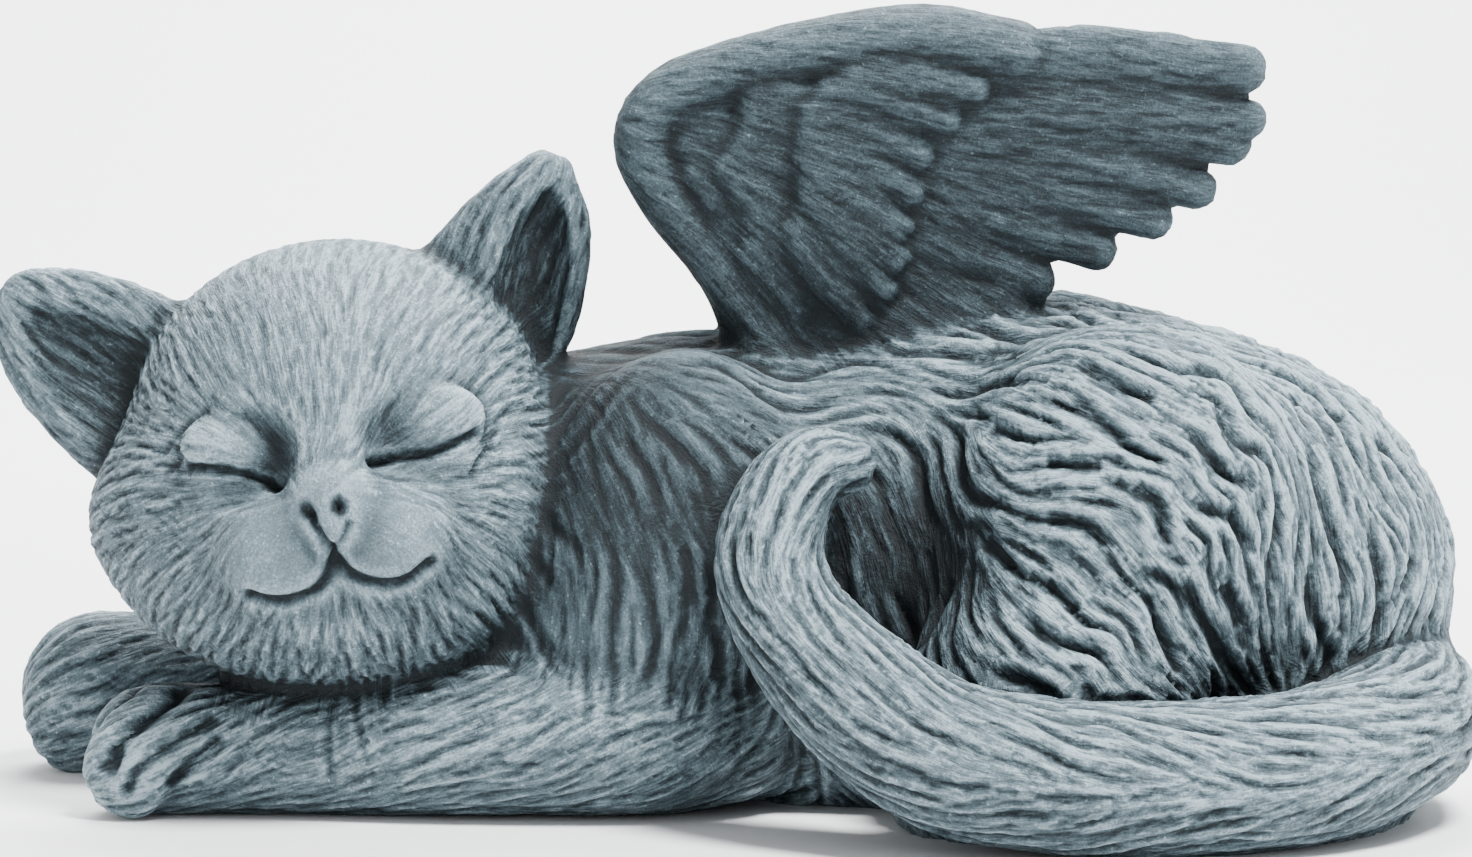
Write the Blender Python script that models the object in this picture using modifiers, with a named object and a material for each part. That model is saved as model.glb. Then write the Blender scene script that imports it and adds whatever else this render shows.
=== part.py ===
"""Pet memorial statue: a sleeping cat with angel wings, cast in one piece.

Metres, +Z up, +X from the head to the rump, the cat's left side toward -Y.
The figure's tables are in grid units, 250 of them along its length.
"""
import math

import bmesh
import bpy
import numpy as np
from mathutils import Matrix
from mathutils.kdtree import KDTree

NAME = "pet_memorial_statue"

LENGTH = 0.250              # far fore paw to the outside of the tail
EAR_WALL = 0.0028           # wall behind the cup of an ear
EAR_CUP = 0.0052            # depth of the cup of an ear
FEATHER_THICKNESS = 0.0052  # the long wing feathers, front to back
FEATHER_STEP = 0.0010       # how far each row of feathers stands over the next
LOCK_SPACING = 0.0108       # from one fur groove to the next
LOCK_DEPTH = 0.0034         # depth of a fur groove
WING_LEAN_DEG = 14.0        # lean of each wing away from the back's ridge
BLOCK_CELL = 2.6            # grid, cell size of the first rough joining
MESH_CELL = 1.4             # grid, cell size of the second, finer joining
TRIANGLES = 9800            # facets of the finished solid
FACE_SHARE = 0.35           # how readily the face loses facets beside the rest

GRID = LENGTH / 250.0
SPINE_Y = 4.0               # grid, the ridge of the back
WING_ROOT_Z = 84.0          # grid, where the wings rise from the ridge
WING_ROOT_Y = 11.0          # grid, each root out from the ridge


def unit(v):
    v = np.asarray(v, float)
    return v / max(np.linalg.norm(v), 1e-12)


def rows_norm(v):
    return np.sqrt(np.einsum("ij,ij->i", v, v))


def rows_unit(v):
    return v / np.maximum(rows_norm(v), 1e-9)[:, None]


def turned(turn):
    """Rotation matrix of a form, from its turns in degrees about X, Y and Z."""
    x, y, z = (math.radians(a) for a in turn)
    m = Matrix.Rotation(z, 3, "Z") @ Matrix.Rotation(y, 3, "Y") @ Matrix.Rotation(x, 3, "X")
    return np.array(m)


class Egg:
    """A rounded mass: an ellipsoid with its own turn."""

    def __init__(self, centre, radii, turn=(0, 0, 0)):
        self.centre = np.array(centre, float)
        self.radii = np.array(radii, float)
        self.axes = turned(turn)
        self.reach = float(max(self.radii))

    def exact(self, p):
        q = (p - self.centre) @ self.axes
        k0 = rows_norm(q / self.radii)
        k1 = np.maximum(rows_norm(q / self.radii ** 2), 1e-6)
        return k0 * (k0 - 1.0) / k1

    def block(self, size):
        return [(self.centre, self.axes, self.radii * size, None)]


def smooth_path(points, steps):
    """Points with their values along them, filled in along a smooth spline."""
    pts = np.array(points, float)
    ends = np.vstack([2 * pts[0] - pts[1], pts, 2 * pts[-1] - pts[-2]])
    out = []
    for i in range(len(pts) - 1):
        a, b, c, d = ends[i:i + 4]
        for s in range(steps):
            t = s / steps
            out.append(0.5 * (2 * b + (c - a) * t + (2 * a - 5 * b + 4 * c - d) * t * t
                              + (3 * b - 3 * c + d - a) * t ** 3))
    out.append(pts[-1])
    return np.array(out)


class Tube:
    """A limb: a round or flattened section swept along a smooth path.

    stations are (x, y, z, half_width) or, with a face normal, (x, y, z, half_width, half_depth).
    """

    def __init__(self, stations, face=None, steps=4):
        table = smooth_path(stations, steps)
        self.path = table[:, :3]
        self.wide = table[:, 3]
        self.deep = table[:, 4] if table.shape[1] > 4 else table[:, 3]
        self.face = None if face is None else unit(face)
        low = (self.path - self.wide[:, None]).min(axis=0)
        high = (self.path + self.wide[:, None]).max(axis=0)
        self.centre = (low + high) / 2
        self.reach = float(np.max(rows_norm(self.path - self.centre) + self.wide))

    def exact(self, p):
        best = np.full(len(p), 1e9)
        for i in range(len(self.path) - 1):
            a, b = self.path[i], self.path[i + 1]
            ab = b - a
            t = np.clip((p - a) @ ab / (ab @ ab), 0.0, 1.0)
            q = p - a - t[:, None] * ab
            w = self.wide[i] + (self.wide[i + 1] - self.wide[i]) * t
            if self.face is None:
                d = rows_norm(q) - w
            else:
                e = self.deep[i] + (self.deep[i + 1] - self.deep[i]) * t
                n = q @ self.face
                flat = q - n[:, None] * self.face
                f2 = np.einsum("ij,ij->i", flat, flat)
                k0 = np.sqrt(f2 / w ** 2 + n ** 2 / e ** 2)
                k1 = np.maximum(np.sqrt(f2 / w ** 4 + n ** 2 / e ** 4), 1e-6)
                d = k0 * (k0 - 1.0) / k1
            best = np.minimum(best, d)
        return best

    def block(self, size):
        out = []
        for i in range(len(self.path) - 1):
            a, b = self.path[i], self.path[i + 1]
            along = unit(b - a)
            face = self.face if self.face is not None else unit(np.cross(along, (0.3, 0.8, 0.5)))
            side = unit(np.cross(face, along))
            axes = np.array([along, side, np.cross(along, side)]).T
            w, v = self.wide[i] * size, self.wide[i + 1] * size
            e, f = self.deep[i] * size, self.deep[i + 1] * size
            out.append((a, axes, np.array([w, w, e]), (b, np.array([v, v, f]))))
        return out


def union(a, b, k):
    h = np.clip(0.5 + 0.5 * (b - a) / k, 0.0, 1.0)
    return b * (1 - h) + a * h - k * h * (1 - h)


def cut(a, b, k):
    return -union(-a, b, k)


class Group:
    """Forms joined with a rounded valley of width k between them."""

    def __init__(self, forms, k, cuts=(), cut_k=1.0):
        self.forms = list(forms)
        self.k = k
        self.cuts = list(cuts)
        self.cut_k = cut_k
        ends = [f.centre - f.reach for f in self.forms], [f.centre + f.reach for f in self.forms]
        low, high = np.min(ends[0], axis=0), np.max(ends[1], axis=0)
        self.centre = (low + high) / 2
        self.reach = max(float(np.linalg.norm(f.centre - self.centre) + f.reach) for f in self.forms)

    def exact(self, p):
        total = None
        for form in self.forms:
            d = value(form, p, self.k + 3.0)
            total = d if total is None else union(total, d, self.k)
        for form in self.cuts:
            d = value(form, p, self.cut_k + 3.0)
            total = cut(total, d, self.cut_k)
        return total

    def blocks(self, size):
        out = []
        for form in self.forms:
            out.extend(form.blocks(size) if isinstance(form, Group) else form.block(size))
        return out


def value(form, p, margin):
    """Distance to a form, worked out in full only near it."""
    far = rows_norm(p - form.centre) - form.reach
    out = np.maximum(far, margin)
    near = far < margin
    if near.any():
        out[near] = form.exact(p[near])
    return out


def body():
    trunk = Group([
        Egg((5, 5, 40), (44, 35, 38)),
        Egg((49, 4, 40), (57, 36, 46)),
        Egg((80, 2, 36), (42, 38, 41.2)),
        Egg((-10, 5, 43), (38, 31, 35)),
        Egg((-33, 4, 46), (28, 27, 28)),
        Egg((-33, 5, 22), (34, 29, 24)),
        Egg((42, 6, 14), (74, 31, 18)),
    ], 8.0)
    near = Group([
        Egg((63, -21, 46), (33, 25, 36), (0, 12, 0)),
        Egg((52, -34, 22), (24, 18, 22)),
        Egg((66, -34, 3), (40, 20, 10)),
        Egg((94, -18, 10), (22, 22, 18)),
    ], 6.0)
    far = Group([
        Egg((63, 27, 45), (34, 22, 35), (0, 12, 0)),
        Egg((48, 38, 9), (36, 15, 11)),
    ], 6.0)
    shoulders = Group([
        Egg((-13, -19, 42), (21, 15.4, 36), (0, 10, 0)),
        Egg((-12, 27, 42), (22, 16, 35), (0, 10, 0)),
    ], 6.0)
    return Group([Group([trunk, shoulders], 9.0), near, far], 4.0)


def forelegs():
    near = Tube([(-2, -16, 15.6, 14), (-14, -20, 15.4, 15), (-30, -21, 14.6, 14), (-48, -20, 13.2, 13),
                 (-66, -18, 12, 12), (-82, -17.4, 11, 11), (-97.0, -17, 10.6, 11)])
    far = Tube([(-10, 27, 16, 15), (-32, 31, 16, 14.5), (-56, 33, 15, 13.5), (-80, 33, 14, 13),
                (-98, 32, 13.6, 13.4), (-112.6, 31, 13.4, 14.2)])
    near_toes = [Egg((-100.6 + 1.6 * i, -24.6 + 5.2 * i, 8.4 + 0.7 * i), (7.8, 4, 8), (0, 0, 12 * i - 16))
                 for i in range(4)]
    far_toes = [Egg((-117 + 1.6 * i, 23.5 + 5.2 * i, 9.5), (8.6, 4.2, 9.5), (0, 0, 10 * i - 16))
                for i in range(4)]
    return Group([Group([near] + near_toes, 1.8), Group([far] + far_toes, 2.0)], 4.0)


TAIL_STATIONS = [(84, 26, 22, 14), (99, 16, 21, 13.5), (108.5, 2, 19.5, 13), (111.5, -14, 18, 12.8),
                 (108, -31, 16.2, 12.6), (93, -48, 13.2, 12.4), (71, -56, 12.2, 12.3),
                 (50, -58, 13, 12.2), (32.5, -57, 16.4, 12), (19.7, -52, 24.4, 11.2),
                 (10.2, -46.5, 34, 9.8), (5.5, -42.5, 44.7, 9), (7.4, -39.5, 54.1, 7.8),
                 (12.3, -37, 59.8, 6.6), (17.9, -35, 60.2, 4.8)]


def tail():
    return Tube(TAIL_STATIONS)


# for each eye: middle of the upper lid, of the lower lid and of the socket, roll and yaw in degrees
EYES = [((-80.2, -31.6, 61.9), (-80.2, -31.4, 57.0), (-80.6, -42.0, 62.6), 8, 12),
        ((-50.6, -31.0, 66.3), (-50.6, -31.0, 61.2), (-50.4, -42.0, 66.8), -12, -12)]


def head():
    skull = Group([
        Egg((-66.5, -5, 64), (35, 33, 31.5)),
        Egg((-66.5, -10, 51), (42, 29, 26), (0, -5, 0)),
        Egg((-66, -16, 40), (33, 24, 19)),
        Egg((-65.0, -25, 46.5), (24, 18, 16)),
    ], 7.0)
    bridge = Tube([(-66.6, -23, 76, 9.5, 5.0), (-66.0, -32.0, 69, 8.0, 5.0), (-65.2, -37.8, 61, 6.8, 4.8),
                   (-64.5, -41.0, 55.4, 6.8, 4.6)], (0.0, -1.0, 0.35))
    sockets = [Egg(hollow, (9.7, 7.8, 9.8), (0, roll, yaw)) for _, _, hollow, roll, yaw in EYES]
    face = Group([skull, bridge], 6.0, sockets, 2.4)
    lids = Group([Egg(upper, (10.2, 5.2, 6.8), (0, roll, yaw)) for upper, _, _, roll, yaw in EYES]
                 + [Egg(lower, (9.4, 4.4, 5.2), (0, roll, yaw)) for _, lower, _, roll, yaw in EYES], 1.2)
    puffs = Group([
        Egg((-72.8, -37.8, 45.4), (9.6, 7.6, 8.8), (0, 8, 10)),
        Egg((-56.2, -37.8, 48.0), (9.8, 7.4, 8.4), (0, -14, -10)),
    ], 0.8)
    chin = Egg((-65, -35.4, 36.0), (12, 6.4, 6.4))
    pad = Tube([(-64.3, -43.0, 54.8, 7.0, 3.6), (-64.2, -44.2, 51.6, 5.2, 3.4),
                (-64.5, -44.2, 47.8, 2.3, 3.0)], (0.0, -1.0, 0.0))
    muzzle = Group([Group([face, lids], 1.7), puffs], 5.0)
    return Group([Group([muzzle, chin], 2.0), pad], 1.5)


def cup_of(stations, face_of):
    """The hollow of an ear: x, z, half width and share of the full depth at each of its stations."""
    wall, cup = EAR_WALL / GRID, EAR_CUP / GRID
    ahead = 3.0
    out = []
    for (x, z, wide, share), (_, y, _, _, deep) in zip(stations, face_of):
        depth = min(cup * share, 2 * deep - wall)
        out.append((x, y - deep - ahead, z, wide, depth + ahead))
    return out


def ears():
    face = (0.0, -1.0, 0.0)
    left = [(-96, -3, 65.4, 16, 6.5), (-102.5, -3, 71.0, 16, 5.6), (-111, -3, 77.0, 13.2, 4.6),
            (-118, -3, 83.0, 7.6, 3.4)]
    right = [(-44, -2, 80, 15, 7), (-40, -2, 86.5, 14.2, 5.8), (-35.4, -2, 96, 11.0, 4.6),
             (-32.2, -2, 105, 5.4, 3.4)]
    left_cup = [(-98.0, 64.6, 12.0, 1.0), (-104.2, 70.0, 12.4, 1.0), (-111.2, 75.4, 10.2, 0.8),
                (-116.4, 80.4, 5.0, 0.4)]
    right_cup = [(-34.8, 78.5, 7.6, 1.25), (-33.8, 86.5, 8.0, 1.25), (-32.4, 95.0, 6.2, 1.0),
                 (-31.4, 101.6, 3.0, 0.4)]
    cups = [Tube(cup_of(cup, ear), face, 10) for cup, ear in ((left_cup, left), (right_cup, right))]
    return Group([Tube(left, face), Tube(right, face)], 1.0, cups, 1.8)


def wing_point(u, h, side, out=0.0):
    """A place on a wing: u along the back, h up the wing, out from its middle plane."""
    lean = math.radians(WING_LEAN_DEG)
    y = WING_ROOT_Y + h * math.sin(lean) + out * math.cos(lean)
    z = WING_ROOT_Z + h * math.cos(lean) - out * math.sin(lean)
    return (u, SPINE_Y + side * y, z)


def wing_fall(h):
    """How steeply a covert feather falls, in radians, by its height on the wing."""
    return math.radians(8.0 + 46.0 * min(max((38.0 - h) / 38.0, 0.0), 1.0))


def wing(side):
    lean = math.radians(WING_LEAN_DEG)
    face = (0.0, side * math.cos(lean), -math.sin(lean))
    thin = FEATHER_THICKNESS / GRID / 2
    step = FEATHER_STEP / GRID

    def place(u, h, *sizes):
        return wing_point(u, h, side) + sizes

    def feather(base, tip, wide, deep, narrow):
        mid = (0.5 * (base[0] + tip[0]) + 0.06 * (tip[1] - base[1]),
               0.5 * (base[1] + tip[1]) + 0.06 * (tip[0] - base[0]))
        return Tube([place(*base, wide * 0.85, deep), place(*mid, wide, deep),
                     place(*tip, wide * narrow, deep * 0.85)], face, steps=2)

    arm = Tube([place(6.5, -8.0, 6.0), place(2.6, -1.5, 5.0), place(-3.6, 8.3, 4.4), place(-11.4, 18.8, 4.7),
                place(-15.2, 29.1, 5.2), place(-10.9, 37.0, 4.9), place(1.0, 42.0, 4.6),
                place(15.5, 45.4, 4.8), place(31.0, 47.0, 5.2), place(46.0, 44.6, 4.8)])
    long_feathers = [
        ((30, 38), (83.4, 41.2), 6.0), ((34, 33), (84.8, 32.8), 4.6), ((30, 31), (81.8, 28.4), 5.2),
        ((26, 28), (76.6, 20.7), 5.0), ((22, 24), (69.4, 15.4), 5.0), ((18, 20), (60.2, 10.2), 5.2),
        ((14, 16), (50.0, 5.0), 5.2), ((10, 10), (42.0, 0.5), 5.4),
    ]
    layers = [Group([feather(b, t, w, thin, 0.7) for b, t, w in long_feathers], 1.6)]
    rows = [
        (3, [(42.0, 38.6), (37.4, 33.0), (33.0, 26.6), (31.4, 20.0), (29.4, 13.6), (28.4, 7.8),
             (26.4, 2.2), (22.6, -3.0)], 22.0, 5.5),
        (2, [(18.6, 34.6), (17.4, 28.4), (15.2, 22.0), (11.2, 17.4), (12.8, 11.6), (13.2, 5.0),
             (11.6, -1.4)], 15.0, 5.2),
        (1, [(2.6, 31.0), (2.2, 25.0), (3.0, 18.6), (4.6, 12.4), (5.6, 5.4)], 11.0, 5.0),
    ]
    for level, tips, reach, wide in rows:
        forms = []
        for u, h in tips:
            fall = wing_fall(h)
            base = (max(u - reach * math.cos(fall), -10.5), min(h + reach * math.sin(fall), 41.0))
            tip = (u - 2.8 * math.cos(fall), h + 2.8 * math.sin(fall))
            forms.append(feather(base, tip, wide, thin + step * level, 0.62))
        layers.append(Group(forms, 1.8))
    web = Tube([place(6, -6, 8, thin + step), place(8, 8, 13, thin + step), place(8, 26, 14, thin + step)],
               face)
    foot = Tube([place(6, -6, 6, thin + step), place(26, -3, 7, thin + step), place(44, 1.5, 5, thin)], face)
    return Group([Group(layers, 0.4), arm, web, foot], 1.2)


FIGURE = {}


def figure():
    if not FIGURE:
        parts = {"body": body(), "legs": forelegs(), "head": head(), "ears": ears(), "tail": tail(),
                 "wing_near": wing(-1), "wing_far": wing(1)}
        FIGURE.update(parts)
        trunk = Group([parts["body"], parts["legs"]], 3.0)
        with_head = Group([trunk, parts["head"]], 2.6)
        with_ears = Group([with_head, parts["ears"]], 2.6)
        with_tail = Group([with_ears, parts["tail"]], 1.8)
        FIGURE["all"] = Group([with_tail, parts["wing_near"], parts["wing_far"]], 3.6)
    return FIGURE["all"]


def field(p):
    return figure().exact(p)


def slope(p, step=0.12):
    """Field value and its rise at each place."""
    corners = np.array([(1, -1, -1), (-1, -1, 1), (-1, 1, -1), (1, 1, 1)], float)
    grad = np.zeros_like(p)
    total = np.zeros(len(p))
    for c in corners:
        f = field(p + c * step)
        grad += f[:, None] * c
        total += f
    grad /= 4 * step
    return total / 4, grad


def settle(p, rounds=4, limit=1.2):
    """Moves places onto the figure's surface."""
    p = p.copy()
    for _ in range(rounds):
        f, g = slope(p)
        g2 = np.maximum(np.einsum("ij,ij->i", g, g), 0.15)
        move = -(f / g2)[:, None] * g
        size = rows_norm(move)
        move *= np.minimum(1.0, limit / np.maximum(size, 1e-9))[:, None]
        p += move
    return p


# x, z and the fur's direction along x and z, for the trunk, the same on both flanks
TRUNK_FLOW = np.array([
    (-19, 70, 0.70, -0.71), (-16, 56, 0.44, -0.90), (-5, 60, 0.54, -0.84), (-14, 37, 0.24, -0.97),
    (-6, 30, -0.05, -1.00), (-23, 25, -0.15, -0.99), (-15, 16, -0.44, -0.90), (-1, 78, 0.98, -0.19),
    (16, 79, 1.00, 0.08), (10, 71, 0.99, 0.11), (27, 72, 0.96, -0.29), (30, 62, 0.39, -0.92),
    (33, 51, 0.19, -0.98), (24, 44, 0.13, -0.99), (30, 31, 0.40, -0.92), (47, 79, 0.71, -0.71),
    (41, 71, 0.84, -0.54), (48, 63, 0.99, 0.15), (46, 46, 0.98, -0.22), (48, 30, 0.75, -0.66),
    (62, 83, 0.92, -0.39), (65, 70, 0.81, -0.58), (64, 52, 0.70, -0.71), (61, 32, 0.66, -0.75),
    (79, 81, 0.85, -0.53), (80, 65, 0.62, -0.78), (79, 44, 0.45, -0.89), (77, 26, 0.64, -0.77),
    (96, 68, 0.59, -0.81), (95, 50, 0.33, -0.95), (89, 30, -0.21, -0.98), (108, 51, 0.17, -0.98),
    (106, 34, -0.34, -0.94), (112, 26, -0.55, -0.84)])
NOSE = np.array((-66.0, -44.0, 55.0))

# cuts of the face, then between the toes: x and z along each, then its width and depth
CUTS = [
    ([(-89.0, 59.8), (-84.6, 59.6), (-80.4, 59.0), (-77.0, 57.9), (-73.8, 56.9)], 0.65, 1.5),
    ([(-58.4, 61.2), (-54.4, 61.5), (-50.3, 62.0), (-46.0, 63.4), (-41.8, 65.4)], 0.70, 1.6),
    ([(-75.6, 57.3), (-73.6, 56.9)], 1.0, 1.2),
    ([(-58.6, 61.2), (-56.0, 61.4)], 1.0, 1.2),
    ([(-64.5, 47.4), (-64.7, 44.4), (-66.8, 41.0), (-69.9, 39.4), (-74.0, 38.7), (-78.4, 39.6)], 1.0, 1.9),
    ([(-64.4, 46.8), (-62.6, 44.0), (-59.5, 42.2), (-55.5, 41.6), (-52.3, 42.4), (-48.8, 45.0)], 1.0, 1.8),
    ([(-68.4, 53.2), (-66.2, 49.9), (-64.5, 47.1)], 0.8, 1.3),
    ([(-61.7, 51.8), (-62.9, 49.0), (-64.3, 47.1)], 0.7, 0.7),
    ([(-107.6, 12.5), (-105.0, 17.2), (-99.6, 21.4)], 1.1, 1.5),
    ([(-103.4, 9.8), (-101.4, 14.2), (-96.8, 18.0), (-92.4, 21.2)], 1.7, 2.6),
    ([(-100.2, 5.8), (-98.0, 9.6), (-92.4, 13.6), (-86.8, 17.0)], 1.1, 1.5),
    ([(-92.8, 6.6), (-89.6, 10.6), (-85.6, 13.8)], 1.0, 1.5),
]


def region(p):
    """Which part of the figure each place belongs to."""
    figure()
    names = ["body", "legs", "head", "ears", "tail", "wing_near", "wing_far"]
    d = np.array([value(FIGURE[n], p, 6.0) for n in names])
    return np.argmin(d, axis=0)


def flow(p, where):
    """The lie of the fur at each place, before it is laid on the surface."""
    out = np.zeros_like(p)
    trunk = where == 0
    if trunk.any():
        q = p[trunk]
        d2 = (q[:, 0:1] - TRUNK_FLOW[:, 0]) ** 2 + (q[:, 2:3] - TRUNK_FLOW[:, 1]) ** 2
        w = np.exp(-(d2 - d2.min(axis=1)[:, None]) / (2 * 8.0 ** 2))
        v = w @ TRUNK_FLOW[:, 2:4]
        out[trunk, 0] = v[:, 0]
        out[trunk, 2] = v[:, 1]
    legs = where == 1
    out[legs] = (-0.9, 0.0, -0.42)
    on_head = where == 2
    v = rows_unit(p - NOSE)
    low = np.clip((62.0 - p[:, 2]) / 20.0, 0.0, 1.0) * np.clip(np.abs(p[:, 0] + 66.0) / 12.0, 0.3, 1.0)
    v[:, 2] -= 0.45 * low
    out[on_head] = v[on_head]
    ear = where == 3
    left = ear & (p[:, 0] < -66)
    out[left] = unit((-0.78, 0.0, 0.62))
    out[ear & ~left] = unit((0.42, 0.0, 0.9))
    tails = where == 4
    if tails.any():
        path = FIGURE["tail"].path
        q = p[tails]
        d = ((q[:, None, :] - path[None]) ** 2).sum(axis=2)
        i = np.clip(np.argmin(d, axis=1), 0, len(path) - 2)
        along = rows_unit(path[i + 1] - path[i])
        spread = q - path[i]
        spread -= np.einsum("ij,ij->i", spread, along)[:, None] * along
        spread[:, 1] *= 0.2
        out[tails] = along + 0.42 * rows_unit(spread)
    wings = where >= 5
    if wings.any():
        q = p[wings]
        h = (q[:, 2] - WING_ROOT_Z) / math.cos(math.radians(WING_LEAN_DEG))
        steep = np.clip((38.0 - h) / 38.0, 0, 1) * np.clip((60 - q[:, 0]) / 40.0, 0.15, 1)
        fall = np.radians(6.0 + 46.0 * steep)
        out[wings, 0] = np.cos(fall)
        out[wings, 2] = -np.sin(fall)
        out[wings, 1] = np.sign(SPINE_Y - q[:, 1]) * 0.24 * np.sin(fall)
    return out


def comb(p, normal, where, wave=1.0):
    """The fur's direction on the surface, with the locks' slow S waves."""
    v = flow(p, where)
    v -= np.einsum("ij,ij->i", v, normal)[:, None] * normal
    v = rows_unit(v)
    haunch = np.clip((p[:, 0] - 26.0) / 22.0, 0, 1) * (where == 0)
    gain = np.radians(9.0 + 15.0 * haunch) * np.where(where >= 5, 0.5, 1.0) * wave
    run = np.where(where == 0, np.hypot(p[:, 0] - 40.0, p[:, 2] - 100.0), p @ np.array((0.6, 0.2, 0.7)))
    across = p @ np.array((0.5, 0.3, -0.4))
    drift = 1.6 * np.sin(across / 7.5) + 1.1 * np.sin(p[:, 0] / 6.1 - p[:, 2] / 9.7)
    angle = gain * np.sin(2 * math.pi * run / 29.0 + 0.10 * across + drift)
    side = np.cross(normal, v)
    return v * np.cos(angle)[:, None] + side * np.sin(angle)[:, None]


def streams(seeds, spacing, length, step, wave=1.0):
    """Evenly spaced fur lines traced from the seeds along the lie of the fur."""
    p = seeds.copy()
    where = region(p)
    track = []
    for _ in range(int(length / step)):
        f, g = slope(p)
        n = rows_unit(g)
        p = p - np.clip(f, -1.0, 1.0)[:, None] * n
        v = comb(p, n, where, wave)
        track.append((p.copy(), v, n))
        p = p + v * step
    places = np.array([t[0] for t in track]).transpose(1, 0, 2)
    ways = np.array([t[1] for t in track]).transpose(1, 0, 2)
    kept, taken = [], {}
    cell = spacing
    near = [(i, j, k) for i in (-1, 0, 1) for j in (-1, 0, 1) for k in (-1, 0, 1)]
    for line, way in zip(places, ways):
        run = []
        for place in line:
            key = tuple(int(math.floor(c / cell)) for c in place)
            clash = False
            for o in near:
                for x, y, z in taken.get((key[0] + o[0], key[1] + o[1], key[2] + o[2]), ()):
                    if (x - place[0]) ** 2 + (y - place[1]) ** 2 + (z - place[2]) ** 2 < spacing ** 2:
                        clash = True
                        break
                if clash:
                    break
            if clash:
                break
            run.append(place)
        if len(run) * step < 0.35 * length:
            continue
        for place in run:
            key = tuple(int(math.floor(c / cell)) for c in place)
            taken.setdefault(key, []).append(tuple(place))
        kept.append((np.array(run), way[:len(run)]))
    return kept


def carve(p, normal, lines, spacing, depth, amount=None):
    """Lowers the surface along the fur lines and rounds the locks between them."""
    count = sum(len(a) for a, _ in lines)
    tree = KDTree(count)
    spots, ways, fade = [], [], []
    for places, way in lines:
        n = len(places)
        t = (np.arange(n) + 0.5) / n
        fade.append(np.minimum(1.0, 4.0 * np.minimum(t, 1 - t)))
        spots.append(places)
        ways.append(way)
    spots, ways, fade = np.vstack(spots), np.vstack(ways), np.concatenate(fade)
    for i, s in enumerate(spots):
        tree.insert(s, i)
    tree.balance()
    nearest = np.array([tree.find(q)[1] for q in p])
    delta = p - spots[nearest]
    w = ways[nearest]
    delta -= np.einsum("ij,ij->i", delta, w)[:, None] * w
    q = rows_norm(delta) / spacing
    shape = -np.exp(-(q / 0.26) ** 2) + 0.34 * np.exp(-((q - 0.55) / 0.24) ** 2)
    drop = depth * fade[nearest] * shape
    if amount is not None:
        drop = drop * amount
    return p + drop[:, None] * normal


def clear_scene():
    for ob in list(bpy.data.objects):
        bpy.data.objects.remove(ob, do_unlink=True)
    for c in list(bpy.data.collections):
        bpy.data.collections.remove(c)


def coordinates(mesh):
    out = np.empty(len(mesh.vertices) * 3)
    mesh.vertices.foreach_get("co", out)
    return out.reshape(-1, 3)


def set_coordinates(mesh, p):
    mesh.vertices.foreach_set("co", p.ravel())
    mesh.update()


def blockout(collection):
    """Rough forms from balls and stretched balls, joined into one object."""
    bm = bmesh.new()
    bmesh.ops.create_uvsphere(bm, u_segments=20, v_segments=12, radius=1.0)
    ball = np.array([(v.co.z, v.co.x, v.co.y) for v in bm.verts])
    ball_faces = [[v.index for v in f.verts] for f in bm.faces]
    bm.free()
    front = ball[:, 0] > 1e-6
    verts, faces = [], []
    for centre, axes, radii, other in figure().blocks(1.0):
        p = centre + (ball * radii) @ axes.T
        if other is not None:
            p[front] = other[0] + (ball[front] * other[1]) @ axes.T
        first = len(verts) * len(ball)
        verts.append(p)
        faces.extend([first + i for i in f] for f in ball_faces)
    mesh = bpy.data.meshes.new("statue_rough")
    mesh.from_pydata(np.vstack(verts).tolist(), [], faces)
    ob = bpy.data.objects.new("statue", mesh)
    collection.objects.link(ob)
    return ob


def apply_modifiers(ob):
    graph = bpy.context.evaluated_depsgraph_get()
    mesh = bpy.data.meshes.new_from_object(ob.evaluated_get(graph))
    ob.modifiers.clear()
    old = ob.data
    ob.data = mesh
    bpy.data.meshes.remove(old)


def remesh(ob, cell):
    mod = ob.modifiers.new("join", "REMESH")
    mod.mode = "VOXEL"
    mod.voxel_size = cell
    mod.adaptivity = 0.0
    apply_modifiers(ob)


def project(ob, rounds):
    p = settle(coordinates(ob.data), rounds)
    set_coordinates(ob.data, p)


def from_front(x, z):
    """Places on the figure's front straight in from the given x and z."""
    p = np.column_stack([x, np.full(len(x), -62.0), z])
    for _ in range(40):
        p[:, 1] += np.clip(field(p), -0.5, 3.0)
    return p


def engrave(p, normal, lines):
    """Cuts fine lines and pits into the front of the figure."""
    out = p.copy()
    for points, wide, deep in lines:
        path = smooth_path(points, 6)
        spots = from_front(path[:, 0], path[:, 1])
        near = np.flatnonzero((np.abs(p - spots.mean(axis=0)) < 22).all(axis=1))
        best = np.full(len(near), 1e9)
        for a, b in zip(spots[:-1], spots[1:]):
            ab = b - a
            t = np.clip((p[near] - a) @ ab / (ab @ ab), 0, 1)
            best = np.minimum(best, rows_norm(p[near] - a - t[:, None] * ab))
        out[near] -= (deep * np.exp(-(best / wide) ** 2))[:, None] * normal[near]
    return out


def fur_amount(p, where):
    """How strongly each place is carved: less on the face, none on puffs and lids."""
    amount = np.array([1.0, 0.45, 0.22, 0.2, 0.5, 0.2, 0.2])[where]
    from_nose = rows_norm((p - np.array((-65, -44, 53))) / (26, 16, 20))
    face = np.clip(2.5 * (from_nose - 0.75), 0.0, 1.0)
    amount = np.where(where == 2, amount * face, amount)
    back = np.clip((p[:, 1] - 8.0) / 20.0, 0.0, 1.0)
    return amount * (1.0 - 0.35 * back)


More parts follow.
